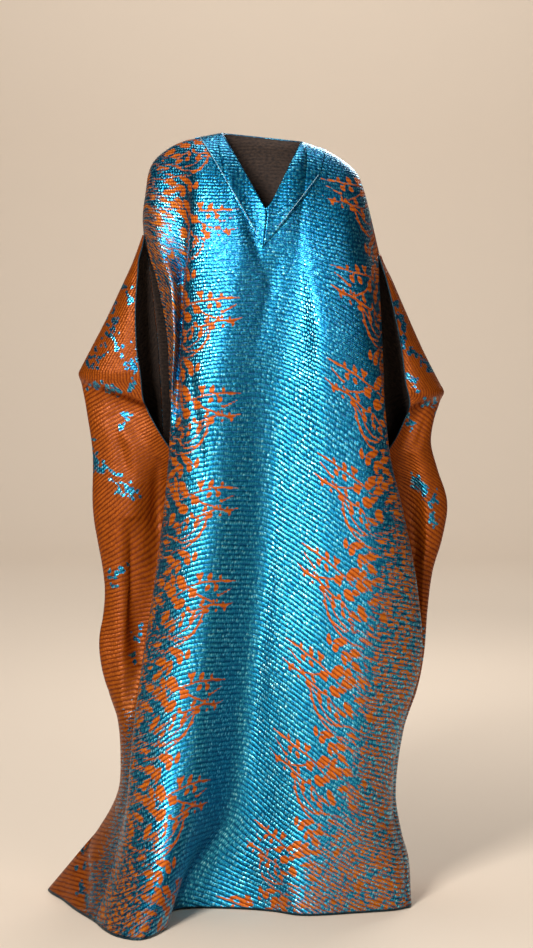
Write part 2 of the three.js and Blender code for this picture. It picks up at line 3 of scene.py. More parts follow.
import bpy
import numpy as np
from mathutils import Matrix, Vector


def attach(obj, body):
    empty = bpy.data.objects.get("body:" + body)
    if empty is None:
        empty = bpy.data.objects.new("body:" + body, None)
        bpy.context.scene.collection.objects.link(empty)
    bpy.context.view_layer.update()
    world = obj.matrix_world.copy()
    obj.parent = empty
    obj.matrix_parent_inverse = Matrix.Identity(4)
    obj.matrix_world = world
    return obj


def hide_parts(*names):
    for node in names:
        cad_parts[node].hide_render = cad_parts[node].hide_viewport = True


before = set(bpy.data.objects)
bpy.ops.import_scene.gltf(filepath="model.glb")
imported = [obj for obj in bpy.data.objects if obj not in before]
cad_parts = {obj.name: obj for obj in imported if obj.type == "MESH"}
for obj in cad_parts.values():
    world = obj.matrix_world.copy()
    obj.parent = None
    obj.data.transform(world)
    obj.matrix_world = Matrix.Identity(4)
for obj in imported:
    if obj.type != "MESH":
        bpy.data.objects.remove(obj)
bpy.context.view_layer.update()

# ---- Front panel: its hang -----------------------------------------------------------
# One length of metallic jacquard from shoulder to hem, with a V cut for the neck. It hangs
# in long soft folds from the shoulders. Its side edges are free along the arm slits, and
# sewn to the wings below them. The tables give the folds' places in millimetres.
HEM = -1536.0
SLIT_END = -640.0
SLIT_TOP = -206.0
SEAM_GAP = 0.3

front_folds = (  # level, then x and y: left edge, pipe, dip, toe fold and flank, valley,
    # middle rise and dip, chest fold, right dip, pipe and edge
    (-206, (-234, -214, -146, -118, -56, 0, 36, 66, 94, 154, 203, 231),
        (-1, -46, -70, -106, -130, -117, -111, -109, -110, -95, -54, 2)),
    (-250, (-224, -196, -152, -136, -50, 0, 38, 70, 98, 166, 204, 233),
        (-24, -68, -60, -112, -136, -124, -117, -114, -115, -102, -68, -2)),
    (-290, (-211, -178, -156, -143, -56, -2, 40, 72, 100, 172, 206, 233),
        (-40, -86, -54, -117, -140, -125, -117, -115, -121, -108, -86, -28)),
    (-400, (-189, -171, -159, -150, -78, -8, 44, 80, 116, 192, 220, 238),
        (-64, -98, -60, -112, -147, -128, -118, -124, -140, -122, -98, -54)),
    (-500, (-184, -176, -166, -152, -92, 10, 50, 82, 122, 208, 236, 242),
        (-66, -96, -76, -126, -152, -118, -120, -130, -143, -122, -98, -56)),
    (-640, (-176, -184, -168, -142, -90, 14, 50, 84, 124, 208, 252, 248),
        (-46, -90, -118, -144, -155, -112, -121, -131, -144, -132, -92, -42)),
    (-760, (-168, -197, -174, -144, -94, 8, 44, 82, 126, 215, 281, 264),
        (4, -80, -126, -150, -159, -110, -121, -132, -146, -142, -86, 4)),
    (-900, (-182, -215, -188, -154, -108, -4, 34, 72, 118, 220, 308, 286),
        (0, -88, -134, -158, -166, -108, -122, -133, -148, -148, -80, 4)),
    (-1050, (-206, -238, -202, -164, -118, -20, 22, 62, 110, 214, 317, 298),
        (-26, -108, -150, -170, -172, -104, -122, -137, -150, -152, -72, -4)),
    (-1200, (-240, -256, -216, -174, -130, -34, 10, 48, 98, 196, 272, 271),
        (-76, -130, -170, -188, -180, -100, -116, -133, -150, -154, -80, -36)),
    (-1350, (-272, -264, -228, -182, -142, -64, -8, 34, 86, 186, 247, 261),
        (-118, -168, -208, -232, -208, -106, -110, -130, -151, -152, -108, -70)),
    (-1450, (-294, -274, -242, -193, -160, -132, -56, 14, 76, 190, 262, 281),
        (-162, -216, -260, -286, -246, -109, -103, -130, -160, -148, -118, -86)),
    (-1536, (-322, -302, -270, -228, -186, -166, -52, 22, 78, 192, 266, 284),
        (-229, -290, -350, -374, -300, -118, -112, -136, -172, -148, -124, -108)),)
left_wing_folds = (  # recess, front layer, outer fold, back layer, back seam
    (-206, (-236, -237.5, -238.5, -238.5, -236.5), (2, 5, 9, 13, 18)),
    (-260, (-252, -256, -259, -252, -229), (-6, 0, 12, 32, 42)),
    (-315, (-264, -275, -285, -270, -222), (-14, -3, 20, 44, 57)),
    (-375, (-272, -294, -314, -292, -216), (-22, -8, 25, 54, 69)),
    (-430, (-280, -313, -343, -314, -211), (-28, -14, 28, 62, 79)),
    (-468, (-284, -326, -363, -328, -209), (-32, -18, 30, 66, 84)),
    (-482, (-284, -328, -369, -332, -208), (-33, -19, 30, 68, 86)),
    (-500, (-281, -325, -364, -332, -207), (-29, -16, 29, 68, 88)),
    (-560, (-268, -312, -352, -330, -204), (-14, -6, 25, 64, 94)),
    (-640, (-214, -276, -340, -324, -202), (-8, -8, 22, 62, 100)),
    (-760, (-204, -268, -339, -322, -200), (24, -10, 20, 64, 112)),
    (-910, (-215, -268, -316, -303, -200), (20, -6, 20, 68, 127)),
    (-1030, (-235, -280, -324, -308, -205), (8, -8, 20, 73, 140)),
    (-1120, (-250, -284, -309, -298, -210), (-15, -14, 14, 76, 149)),
    (-1180, (-259, -279, -290, -286, -215), (-36, -20, 6, 78, 156)),
    (-1260, (-270, -281, -285, -282, -221), (-55, -26, 2, 82, 164)),
    (-1330, (-282, -290, -292, -288, -230), (-70, -32, 8, 91, 174)),
    (-1405, (-303, -322, -333, -316, -243), (-90, -38, 28, 108, 183)),
    (-1450, (-322, -350, -369, -344, -256), (-104, -42, 45, 120, 189)),
    (-1536, (-366, -398, -438, -394, -300), (-129, -42, 74, 142, 200)),)
right_wing_folds = (
    (-206, (233, 234, 235, 235, 233), (4, 6, 9, 12, 15)),
    (-245, (235.5, 237, 238, 238, 235), (3, 7, 12, 17, 23)),
    (-295, (254, 258, 261, 254, 228), (-5, 2, 14, 32, 42)),
    (-357, (271, 280, 288, 272, 222), (-14, -3, 18, 42, 57)),
    (-434, (289, 306, 323, 300, 216), (-22, -8, 22, 54, 72)),
    (-500, (306, 334, 357, 330, 213), (-28, -13, 29, 64, 83)),
    (-518, (311, 341, 366, 337, 212), (-30, -14, 30, 66, 86)),
    (-536, (309, 336, 359, 334, 212), (-22, -10, 29, 67, 88)),
    (-580, (300, 322, 345, 326, 212), (-8, -2, 28, 68, 94)),
    (-622, (282, 312, 340, 326, 214), (-2, 1, 29, 71, 98)),
    (-670, (275, 318, 352, 336, 221), (10, 4, 31, 74, 104)),
    (-740, (288, 331, 373, 352, 229), (26, 8, 32, 76, 111)),
    (-810, (299, 331, 364, 344, 230), (26, 11, 31, 77, 118)),
    (-880, (307, 326, 344, 329, 230), (25, 14, 30, 78, 125)),
    (-960, (311, 324, 334, 320, 229), (22, 16, 29, 80, 133)),
    (-1050, (311, 320, 327, 313, 228), (18, 18, 28, 82, 142)),
    (-1120, (299, 308, 313, 299, 226), (4, 10, 26, 83, 147)),
    (-1200, (279, 284, 284, 274, 222), (-20, -4, 22, 84, 152)),
    (-1320, (266, 268, 264, 256, 225), (-50, -26, 8, 81, 156)),
    (-1400, (277, 280, 278, 264, 228), (-62, -38, 2, 82, 158)),
    (-1450, (288, 293, 292, 276, 232), (-72, -46, 2, 84, 160)),
    (-1536, (294, 298, 297, 284, 238), (-98, -66, -8, 78, 162)),)
left_slit_step = (  # from the front's edge to the wing's free edge
    (-206, (-0.4,), (0.9,)),
    (-230, (-10,), (6,)),
    (-260, (-25,), (17,)),
    (-315, (-44,), (26,)),
    (-375, (-58,), (32,)),
    (-430, (-62,), (35,)),
    (-482, (-56,), (34,)),
    (-540, (-52,), (36,)),
    (-590, (-30,), (24,)),
    (-640, (0,), (0,)),)
right_slit_step = (
    (-245, (0.4,), (0.9,)),
    (-270, (8,), (6,)),
    (-295, (15,), (19,)),
    (-357, (27,), (24,)),
    (-434, (38,), (31,)),
    (-498, (43,), (30,)),
    (-547, (50,), (30,)),
    (-595, (30,), (20,)),
    (-640, (0,), (0,)),)


def read_folds(table, level):
    """The folds' x and y at each level, smooth from row to row."""
    levels = np.array([row[0] for row in table], float)
    values = np.array([np.stack(row[1:], axis=-1) for row in table], float)
    rows = np.arange(len(levels))
    before, after = np.maximum(rows - 1, 0), np.minimum(rows + 1, rows[-1])
    slope = (values[after] - values[before]) / (levels[after] - levels[before])[:, None, None]
    z = np.clip(level, levels[-1], levels[0])
    row = np.clip(np.searchsorted(-levels, -z, side="right") - 1, 0, rows[-1] - 1)
    span = (levels[row + 1] - levels[row])[:, None, None]
    f = (z - levels[row])[:, None, None] / span
    rise = (values[row + 1] - values[row]) * f * f * (3 - 2 * f)
    lean = slope[row] * f * (1 - f) ** 2 - slope[row + 1] * f * f * (1 - f)
    return values[row] + rise + span * lean


def along_folds(folds, along):
    """The point of a smooth line through the folds, and the way it runs. The ends only steer."""
    part = np.clip(np.floor(along).astype(int), 0, folds.shape[1] - 4)
    f = (along - part)[:, None]
    n = np.arange(len(folds))
    p0, p1, p2, p3 = (folds[n, part + k] for k in range(4))
    gaps = [np.linalg.norm(b - a, axis=-1) for a, b in ((p0, p1), (p1, p2), (p2, p3))]
    d0, d1, d2 = (np.sqrt(np.maximum(gap, 0.01))[:, None] for gap in gaps)
    m1 = ((p1 - p0) * d1 / d0 + (p2 - p1) * d0 / d1) / (d0 + d1) * d1
    m2 = ((p2 - p1) * d2 / d1 + (p3 - p2) * d1 / d2) / (d1 + d2) * d1
    f2, f3 = f * f, f ** 3
    point = p1 * (2 * f3 - 3 * f2 + 1) + m1 * (f3 - 2 * f2 + f) + p2 * (3 * f2 - 2 * f3) + m2 * (f3 - f2)
    run = (p1 - p2) * (6 * f2 - 6 * f) + m1 * (3 * f2 - 4 * f + 1) + m2 * (3 * f2 - 2 * f)
    return point, run


def wing_and_front(level):
    """The front's and both wings' folds at each level. A wing starts at its free edge."""
    front = read_folds(front_folds, level)
    free = (level > SLIT_END)[:, None, None]
    left_edge = front[:, :1] + read_folds(left_slit_step, level) * free
    right_edge = front[:, -1:] + read_folds(right_slit_step, level) * free
    left = np.concatenate([left_edge, read_folds(left_wing_folds, level)], axis=1)
    right = np.concatenate([right_edge, read_folds(right_wing_folds, level)], axis=1)
    return front, left, right


def front_plan(level):
    front, left, right = wing_and_front(level)
    return np.concatenate([left[:, 1:2], front, right[:, 1:2]], axis=1)


def hang_at(plan, along, level):
    """A point of the hanging cloth and its run across, at a fold position and a level."""
    shape = np.broadcast(along, level).shape
    along = np.broadcast_to(along, shape).ravel().astype(float)
    level = np.broadcast_to(level, shape).ravel().astype(float)
    point, run = along_folds(plan(level), along)
    point = np.column_stack([point, level])
    return point.reshape(*shape, 3), np.column_stack([run, 0 * level]).reshape(*shape, 3)


def shoulder_line(points, share):
    """A point on the line over a shoulder, from its first point (0) to its last (1)."""
    points = np.array(points, float)
    ends = np.vstack([2 * points[0] - points[1], points, 2 * points[-1] - points[-2]])
    line = np.broadcast_to(ends, (len(share), *ends.shape))
    return along_folds(line, share * (len(points) - 1))[0]


def unit(v):
    return v / np.maximum(np.linalg.norm(v, axis=-1, keepdims=True), 1e-9)


left_shoulder = (
    (-236.6, 7.5, -203), (-238, 9, -165), (-232, 11, -118), (-226, 12, -80), (-215, 12, -57),
    (-188, 10, -34), (-157, 6, -19), (-123, 3, -12), (-79, 0, -4))
right_shoulder = (
    (234.6, 9, -242), (217, 11, -167), (203, 12, -114), (190, 12, -83),
    (167, 10, -61), (129, 7, -38), (98, 3, -28), (78, 0, -21))
left_shares = (0, 0.3, 0.62, 0.84, 1)
right_shares = (1, 0.72, 0.54, 0.28, 0)
neck_left, neck_right = np.array([-79.0, 0, -4]), np.array([78.0, 0, -21])
v_point = np.array([10.0, -112, -164])
V_SLOPE, FAN_OUT = math.radians(78), 0.5
FRONT_NECK = (4, 5, 7)        # fold positions: left neck point, point of the V, right neck point
front_yoke_foot = (-206, -226, -262, -290, -290, -290, -290, -290, -290, -286, -276, -245)
FULL_TOP, FULL_FOOT = 0.24, 0.42


def shoulder_way(along, centre):
    left = np.array([-1, 0, -0.2])
    right = np.array([1, 0, -0.35])
    return np.where((along < centre)[:, None], left, right)


def over_shoulders(along, start, end):
    """Where the shoulder lines are reached, for the fold positions outside the neck."""
    left = shoulder_line(left_shoulder, np.interp(along, range(5), left_shares))
    right = shoulder_line(right_shoulder, np.interp(along - end, range(5), right_shares))
    return np.where((along <= start)[:, None], left, right)


def front_top(along):
    """The front's top edge: both shoulder lines and the V, and the way the cloth leaves it."""
    start, centre, end = FRONT_NECK
    share = np.where(along < centre, along - start, (end - along) / (end - centre))
    share = np.clip(share, 0, 1)[:, None]
    neck = np.where((along < centre)[:, None], neck_left, neck_right)
    v_edge = neck + (v_point - neck) * share ** 2
    v_edge[:, 1] = v_point[1] * share[:, 0]
    in_neck = ((along > start) & (along < end))[:, None]
    slope = V_SLOPE * share ** 0.75 * in_neck
    near = np.where(along < centre, np.abs(along - start), np.abs(along - end))
    fan = FAN_OUT * np.clip(1 - near, 0, None)[:, None]
    down = np.concatenate([0 * slope, -np.cos(slope), -np.sin(slope)], axis=1)
    leave = unit(down + shoulder_way(along, centre) * fan)
    return np.where(in_neck, v_edge, over_shoulders(along, start, end)), leave


def yoke_at(top, foot, plan, along, share):
    """The cloth from the shoulder line or the neck edge (share 0) down to its foot (share 1)."""
    edge, leave = top(along)
    level = np.interp(along, range(len(foot)), foot)
    end = hang_at(plan, along, level)[0]
    reach = 2
    above = hang_at(plan, along, np.minimum(level + reach, SLIT_TOP))[0]
    below = hang_at(plan, along, np.maximum(level - reach, HEM))[0]
    size = np.linalg.norm(edge - end, axis=1)[:, None]
    edge = edge + leave * SEAM_GAP / 2
    first = edge + leave * size * FULL_TOP
    second = end + unit(above - below) * size * FULL_FOOT
    a, b = share[..., None], 1 - share[..., None]
    corners = [p[:, None] for p in (edge, first, second, end)]
    return b ** 3 * corners[0] + 3 * a * b * b * corners[1] + 3 * a * a * b * corners[2] + a ** 3 * corners[3]


# ---- Front panel: the cloth on it -----------------------------------------------------
# The panel is a thin shell of cloth 2 mm thick on that hang, with a few soft creases down
# the upper front. It carries its own measure of the weave: how far across from the
# middle of the pattern and how far down, so that ribs and flowers follow the cloth.
CLOTH = 2.0
THREAD_STEP = 3.45            # spacing of the shell's points
YOKE_ROWS, UPPER_ROWS = 70, 38    # rows of points down the yoke, and from its foot to the chest
CHEST = -400                  # level below which the rows lie flat
spray_columns = (             # distance from the pattern's middle, and how close the columns lie
    (50, 80, 240, 320), (0.85, 1.6, 1.6, 0.85))


def even_columns(plan, last, count, middle=None):
    """Fold positions that lie evenly along the cloth, on average from chest to hem.

    Given a pattern's middle, they lie closer together in the sprays on both sides of it."""
    fine = np.linspace(0, last, 1200)
    gaps = np.zeros(len(fine) - 1)
    for level in (-300, -600, -900, -1200, -1500):
        line = hang_at(plan, fine, np.array(float(level)))[0]
        gaps += np.linalg.norm(np.diff(line, axis=0), axis=1) / 5
    length = np.concatenate([[0], np.cumsum(gaps)])
    if middle is not None:
        away = np.abs(length - np.interp(middle, fine, length))
        weight = np.interp(away, *spray_columns)
        length = np.concatenate([[0], np.cumsum(gaps * weight[1:])])
    return np.interp(np.linspace(0, length[-1], count), length, fine)


def rounded_folds(grid, reach=4):
    """The same hang with its sharpest folds eased, as thick cloth lies; the edges stay put."""
    soft = np.hanning(2 * reach + 3)[1:-1]
    count = len(grid)
    eased = np.empty_like(grid)
    for c in range(count):
        r = min(reach, c, count - 1 - c)
        near = soft[reach - r:reach + r + 1, None, None]
        eased[c] = (grid[c - r:c + r + 1] * near).sum(axis=0) / near.sum()
    return eased


def hang_panel(top, foot, plan, columns):
    """The panel's points, column by column from the top edge to the hem, and their levels."""
    share = np.broadcast_to(np.linspace(0, 1, YOKE_ROWS, endpoint=False), (len(columns), YOKE_ROWS))
    yoke = yoke_at(top, foot, plan, columns, share)
    start = np.interp(columns, range(len(foot)), foot)[:, None]
    upper = start + (CHEST - start) * np.linspace(0, 1, UPPER_ROWS, endpoint=False)
    rows = round((CHEST - HEM) / THREAD_STEP)
    lower = np.broadcast_to(np.linspace(CHEST, HEM, rows + 1), (len(columns), rows + 1))
    level = np.concatenate([upper, lower], axis=1)
    body = hang_at(plan, columns[:, None], level)[0]
    grid = np.concatenate([yoke, body], axis=1)
    rise = np.linalg.norm(np.diff(grid[:, :YOKE_ROWS + 1], axis=1), axis=2)
    above = start + np.cumsum(rise[:, ::-1], axis=1)[:, ::-1]
    down = np.concatenate([above, level], axis=1)
    depth = np.concatenate([share, np.ones_like(level)], axis=1)
    return grid, down, depth


def measure_across(grid, depth, columns, middle):
    """How far each point lies across the cloth from the middle of the pattern."""
    step = np.diff(grid, axis=0)
    turn = (depth[1:] + depth[:-1]) / 2
    length = np.sqrt(step[..., 0] ** 2 + turn * step[..., 1] ** 2)
    across = np.concatenate([np.zeros((1, grid.shape[1])), np.cumsum(length, axis=0)])
    zero = [np.interp(m, columns, across[:, r]) for r, m in enumerate(middle)]
    return across - np.array(zero)


def outward(grid, facing):
    run, fall = np.gradient(grid, axis=0), np.gradient(grid, axis=1)
    return unit(np.cross(run, fall)) * facing


def add_creases(grid, facing, across, down, creases):
    """Soft troughs, or ridges where the depth is negative, each along a line in the cloth."""
    sink = np.zeros(across.shape)
    for x0, y0, x1, y1, width, depth in creases:
        run = np.array([x1 - x0, y1 - y0], float)
        size = np.hypot(*run)
        t = ((across - x0) * run[0] + (down - y0) * run[1]) / size ** 2
        off = np.abs((across - x0) * run[1] - (down - y0) * run[0]) / size
        taper = np.clip(t, 0, 1) * np.clip(1 - t, 0, 1) * 4
        sink += depth * np.exp(-(off / width) ** 2) * np.sqrt(taper)
    return grid - outward(grid, facing) * sink[..., None]


def close_seam(grid):
    """Leaves half a seam's gap at both side edges."""
    grid = grid.copy()
    for edge, inside in ((0, 1), (-1, -2)):
        grid[edge] += unit(grid[inside] - grid[edge]) * SEAM_GAP / 2
    return grid


def cloth_shell(name, grid, facing, values, materials, wall=CLOTH, every=(2, 8), lift=0.0):
    """A closed thin shell: the fine face of the cloth, a coarser reverse, and the rim."""
    columns, rows = grid.shape[:2]
    normal = outward(grid, facing)
    inner_c = sorted({*range(0, columns, every[0]), columns - 1})
    inner_r = sorted({*range(0, rows, every[1]), rows - 1})
    inner = (grid + normal * (lift - wall))[np.ix_(inner_c, inner_r)]
    points = np.concatenate([(grid + normal * lift).reshape(-1, 3), inner.reshape(-1, 3)]) / 1000
    face_at = np.arange(columns * rows).reshape(columns, rows)
    back_at = columns * rows + np.arange(inner.shape[0] * inner.shape[1]).reshape(inner.shape[:2])

    def quads(at):
        return np.stack([at[:-1, :-1], at[:-1, 1:], at[1:, 1:], at[1:, :-1]], axis=-1).reshape(-1, 4)

    face, reverse = quads(face_at), quads(back_at)[:, ::-1]
    rim = []
    sides = [  # the rim, round the outside of the face
        (face_at[:, -1], back_at[:, -1], inner_c), (face_at[-1, ::-1], back_at[-1, ::-1], None),
        (face_at[::-1, 0], back_at[::-1, 0], None), (face_at[0, :], back_at[0, :], inner_r)]
    for number, (outer, under, places) in enumerate(sides):
        count = len(outer)
        if places is None:
            inside = inner_r if number == 1 else inner_c
            places = [count - 1 - p for p in inside][::-1]
        near = np.clip(np.searchsorted(places, np.arange(count), side="right") - 1, 0, len(places) - 1)
        for i in range(count - 1):
            a, b = under[near[i]], under[near[i + 1]]
            corners = (outer[i], a, b, outer[i + 1])
            rim.append([c for k, c in enumerate(corners) if k != 2 or a != b])
    faces = [*face.tolist(), *reverse.tolist(), *[[int(v) for v in f] for f in rim]]
    if facing > 0:
        faces = [f[::-1] for f in faces]
    mesh = bpy.data.meshes.new(name)
    mesh.from_pydata(points.tolist(), [], faces)
    kind = [0] * len(face) + [1] * len(reverse) + [0] * len(rim)
    mesh.polygons.foreach_set("material_index", kind)
    mesh.polygons.foreach_set("use_smooth", [True] * len(faces))
    for key, value in values.items():
        under = value[np.ix_(inner_c, inner_r)].reshape(len(inner_c) * len(inner_r), -1)
        flat = np.concatenate([value.reshape(columns * rows, -1), under])
        vector = flat.shape[1] == 3
        data = mesh.attributes.new(key, "FLOAT_VECTOR" if vector else "FLOAT", "POINT").data
        data.foreach_set("vector" if vector else "value", flat.ravel().astype(np.float32))
    lay_flat(mesh, values["weave"], (columns, rows), (inner_c, inner_r))
    for material in materials:
        mesh.materials.append(material)
    shell = bpy.data.objects.new(name, mesh)
    bpy.context.collection.objects.link(shell)
    return shell


def lay_flat(mesh, weave, size, inside):
    """A flat layout for each piece: the face at its cut size, the reverse beside it."""
    width = np.ptp(weave[..., 0]) + 0.02
    height = np.ptp(weave[..., 1]) + 0.02
    low = weave[..., :2].reshape(-1, 2).min(axis=0)
    span = max(width * 1.34, height)
    face = (weave[..., :2] - low + 0.01) / span
    reverse = face[np.ix_(*inside)] * 0.3 + np.array([width * 1.01 / span, 0])
    flat = np.concatenate([face.reshape(-1, 2), reverse.reshape(-1, 2)])
    loops = np.empty(len(mesh.loops), int)
    mesh.loops.foreach_get("vertex_index", loops)
    layer = mesh.uv_layers.new(name="OFBake")
    layer.data.foreach_set("uv", flat[loops].ravel().astype(np.float32))


# ---- Front panel: the woven flowers ---------------------------------------------------
# Sprays of leaves in orange satin, woven into the blue ground. They repeat every 190 mm down
# the cloth and are mirrored about a plain middle. Outward they close up into large leaves and
# blossoms, until the ground itself is orange at the side seams. Sizes are in millimetres.
REPEAT = 190.0
OUTLINE = 2.2                 # the blue line left round each big leaf

spray_leaves = (  # outward from the spray's tip, down, length, width, turn
    (35, -8, 12, 6, -105), (57, -9, 19, 9.5, -112), (77, -11, 17, 9, -90), (74, -14, 15, 7, -125),
    (81, -14, 14, 7, -60), (43, 14, 16, 9, 58), (61, 14, 16, 9, 50), (88, 18, 18, 10, 40),
    (93, 22, 15, 8, 85), (86, 24, 13, 7, 20), (94, 12, 14, 7, 10), (18, 0, 26, 5.4, 180),
    (37, 27, 9, 5.5, 150), (20, 47, 22, 5.4, 190), (19, 53, 12, 6, 75), (24, 41, 9, 4.5, -110),
    (39, 37, 8, 5, -100), (39, 56, 10, 5, 60), (46, 38, 9, 4.5, -70), (60, 58, 15, 8, 30),
    (68, 39, 12, 7.5, -110), (72, 44, 9, 5, -20), (84, 61, 13, 6, 70), (96, 46, 12, 7, -60),
    (104, 60, 13, 6.5, 80), (88, 68, 15, 7.5, 65), (109, 73, 16, 8, 50), (124, 77, 16, 8, 40),
    (115, -7, 38, 17, -55), (140, -3, 46, 20, -50), (115, 33, 26, 21, 10), (128, 20, 22, 12, -40),
    (146, 48, 32, 18, 50), (172, 10, 50, 12, -38), (191, 36, 27, 19, 10), (134, 62, 26, 10, 15),
    (88, 134, 23, 10, -100), (112, 124, 42, 13, -38), (130, 141, 28, 17, 10), (146, 126, 34, 15, -30),
    (104, 140, 24, 12, -70), (152, 150, 30, 16, 20), (124, 152, 22, 11, 60), (162, 90, 34, 10, -15),
    (118, 176, 27, 18, -60), (136, 171, 30, 15, -80), (150, 178, 28, 16, -20), (168, 166, 34, 14, -35))
spray_stems = (  # half width at the start and at the end, then its points
    (1.3, 1.9, ((0, 0), (16, 0), (32, -1))),
    (1.9, 1.7, ((32, -1), (45, 1), (61, 1), (78, 3), (98, 5), (124, 14))),
    (1.6, 1.6, ((57, -3), (58, 2))), (1.6, 1.6, ((77, -4), (78, 2))), (1.6, 1.6, ((46, 8), (48, 2))),
    (1.2, 1.9, ((8, 14), (22, 21), (36, 28))), (1.7, 1.5, ((86, 18), (72, 29), (58, 36), (47, 41))),
    (1.2, 2.0, ((0, 41), (12, 44), (24, 46))),
    (2.0, 1.7, ((24, 46), (47, 44.5), (72, 51.5), (88, 54), (99, 50))),
    (1.5, 1.9, ((52, 46), (78, 65), (92, 82), (109, 91), (126, 93), (132, 86), (130, 76), (120, 62),
                (104, 52))),
    (1.7, 1.9, ((62, 52), (70, 74), (80, 96), (102, 110), (132, 114), (160, 104))),
    (1.6, 1.8, ((66, 76), (88, 99), (115, 101), (149, 80), (176, 72))),
    (1.6, 1.7, ((124, 110), (150, 122), (178, 116))), (1.6, 1.7, ((100, 5), (120, -2), (150, -4), (180, 2))))


def wrapped(down):
    return (down + REPEAT / 2) % REPEAT - REPEAT / 2


def leaf_depth(dx, dy, length, width, turn):
    """Millimetres inside a pointed leaf that is widest near its foot, from its middle."""
    c, s = math.cos(math.radians(turn)), math.sin(math.radians(turn))
    t = (dx * c + dy * s) * 2 / length
    inside = width / 2 * (1 - t * t) * (1 - 0.3 * t) - np.abs(dy * c - dx * s)
    return np.where(np.abs(t) < 1, inside, -np.abs(t) * length / 2)


def stem_depth(out, down, start, end, points):
    """Millimetres inside a stem that runs through its points."""
    points = np.array(points, float)
    depth = np.full(out.shape, -REPEAT)
    for i, (a, b) in enumerate(zip(points[:-1], points[1:])):
        run = b - a
        dx = out - a[0]
        dy = wrapped(down - (a[1] + b[1]) / 2) + (b[1] - a[1]) / 2
        t = np.clip((dx * run[0] + dy * run[1]) / (run @ run), 0, 1)
        half = start + (end - start) * (i + t) / (len(points) - 1)
        depth = np.maximum(depth, half - np.hypot(dx - t * run[0], dy - t * run[1]))
    return depth


def clusters(seed, count, reach, size):
    """Big leaves and five-petalled blossoms for the part of the repeat outside the sprays."""
    rng = np.random.default_rng(seed)
    made = []
    for number in range(count):
        x, y = rng.uniform(*reach), rng.uniform(0, REPEAT)
        if number % 3:
            length = rng.uniform(*size)
            made.append((x, y, length, length * rng.uniform(0.36, 0.55), rng.normal(-55, 28)))
            continue
        for petal in range(5):
            angle = 72 * petal + rng.uniform(-12, 12)
            a = math.radians(angle)
            made.append((x + 7 * math.cos(a), y + 7 * math.sin(a), 13, 8.5, angle))
    return made


outer_leaves = clusters(5, 60, (184, 430), (18, 34))
outer_stem_feet = (
    (170, 30), (176, 70), (190, 150), (214, 10), (236, 96), (252, 130), (280, 50), (300, 170))
outer_stems = [(1.7, 1.9, tuple((x + 22 * k, y + 7 * k - 2.2 * k * k) for k in range(5)))
               for x, y in outer_stem_feet]


def woven_flowers(across, down, tips_left, tips_right, plain_half):
    """Millimetres inside the orange pattern, at each point of a panel."""
    phase = np.empty(across.shape)
    for side, tips in ((across < 0, tips_left), (across >= 0, tips_right)):
        numbers = np.arange(len(tips))
        phase[side] = np.interp(down[side], tips[::-1], numbers[::-1])
    drop = phase * REPEAT
    out = np.abs(across) - plain_half
    field = np.full(across.shape, -8.0)
    near = (out > -12).nonzero()
    o, d = out[near], drop[near]
    depth = np.full(o.shape, -8.0)
    for stem in (*spray_stems, *outer_stems):
        depth = np.maximum(depth, stem_depth(o, d, *stem))
    for x, y, *leaf in (*outer_leaves, *spray_leaves):
        inside = leaf_depth(o - x, wrapped(d - y), *leaf)
        depth = np.maximum(np.minimum(depth, -inside - OUTLINE * (leaf[1] > 9)), inside)
    field[near] = depth + np.clip((o - 250) / 30, 0, 3)
    return field, np.clip((out - 95) / 120, 0, 1)


# ---- Front panel: the finish ----------------------------------------------------------
# The ground is blue metallic yarn in raised cross ribs, each broken into small beads; the
# flowers are smooth orange satin over the same ribs. The reverse is dull brown float yarn.
# Both colours carry painted shade in the rib grooves and painted highlights on crests, beads and fine specks.


def add(tree, kind, values=(), out=0, **settings):
    """A shader node with its inputs set or linked in order; gives one of its outputs."""
    made = tree.nodes.new(kind)
    for key, value in settings.items():
        setattr(made, key, value)
    for place, value in enumerate(values):
        if isinstance(value, bpy.types.NodeSocket):
            tree.links.new(value, made.inputs[place])
        elif value is not None:
            made.inputs[place].default_value = value
    return made.outputs[out]


def maths(tree, operation, *values):
    return add(tree, "ShaderNodeMath", values, operation=operation)


def mixed(tree, factor, first, second, how="MIX"):
    made = tree.nodes.new("ShaderNodeMix")
    made.data_type = "RGBA"
    made.blend_type = how
    for place, value in ((0, factor), (6, first), (7, second)):
        if isinstance(value, bpy.types.NodeSocket):
            tree.links.new(value, made.inputs[place])
        else:
            made.inputs[place].default_value = value
    return made.outputs[2]


def shades(tree, factor, stops):
    ramp = tree.nodes.new("ShaderNodeValToRGB")
    tree.links.new(factor, ramp.inputs[0])
    while len(ramp.color_ramp.elements) < len(stops):
        ramp.color_ramp.elements.new(0.5)
    for element, (place, colour) in zip(ramp.color_ramp.elements, stops):
        element.position = place
        element.color = (*colour, 1)
    return ramp.outputs[0]


def new_material(name):
    material = bpy.data.materials.new(name)
    material.use_nodes = True
    tree = material.node_tree
    tree.nodes.clear()
    shader = tree.nodes.new("ShaderNodeBsdfPrincipled")
    surface = tree.nodes.new("ShaderNodeOutputMaterial")
    tree.links.new(shader.outputs[0], surface.inputs[0])
    return material, tree, shader


RIB, BEAD = 0.0095, 0.0048    # pitch of the ribs and of the beads along them, in metres
RIB_SWAY, RIB_STRAY = 0.004, 0.002    # how far the ribs wander, in long and in short waves
SMALL_LEAF, LARGE_LEAF = 17.0, 24.0   # spacing of the strewn leaves, in millimetres


def between(tree, value, low, high, start=0.0, end=1.0):
    """A value spread from one range to another and held at its ends."""
    return add(tree, "ShaderNodeMapRange", (value, low, high, start, end))


def dipped(tree, value, share):
    """A value under 1 that falls short of it by only a share of its dip."""
    return maths(tree, "MULTIPLY_ADD", maths(tree, "ADD", value, -1.0), share, 1.0)


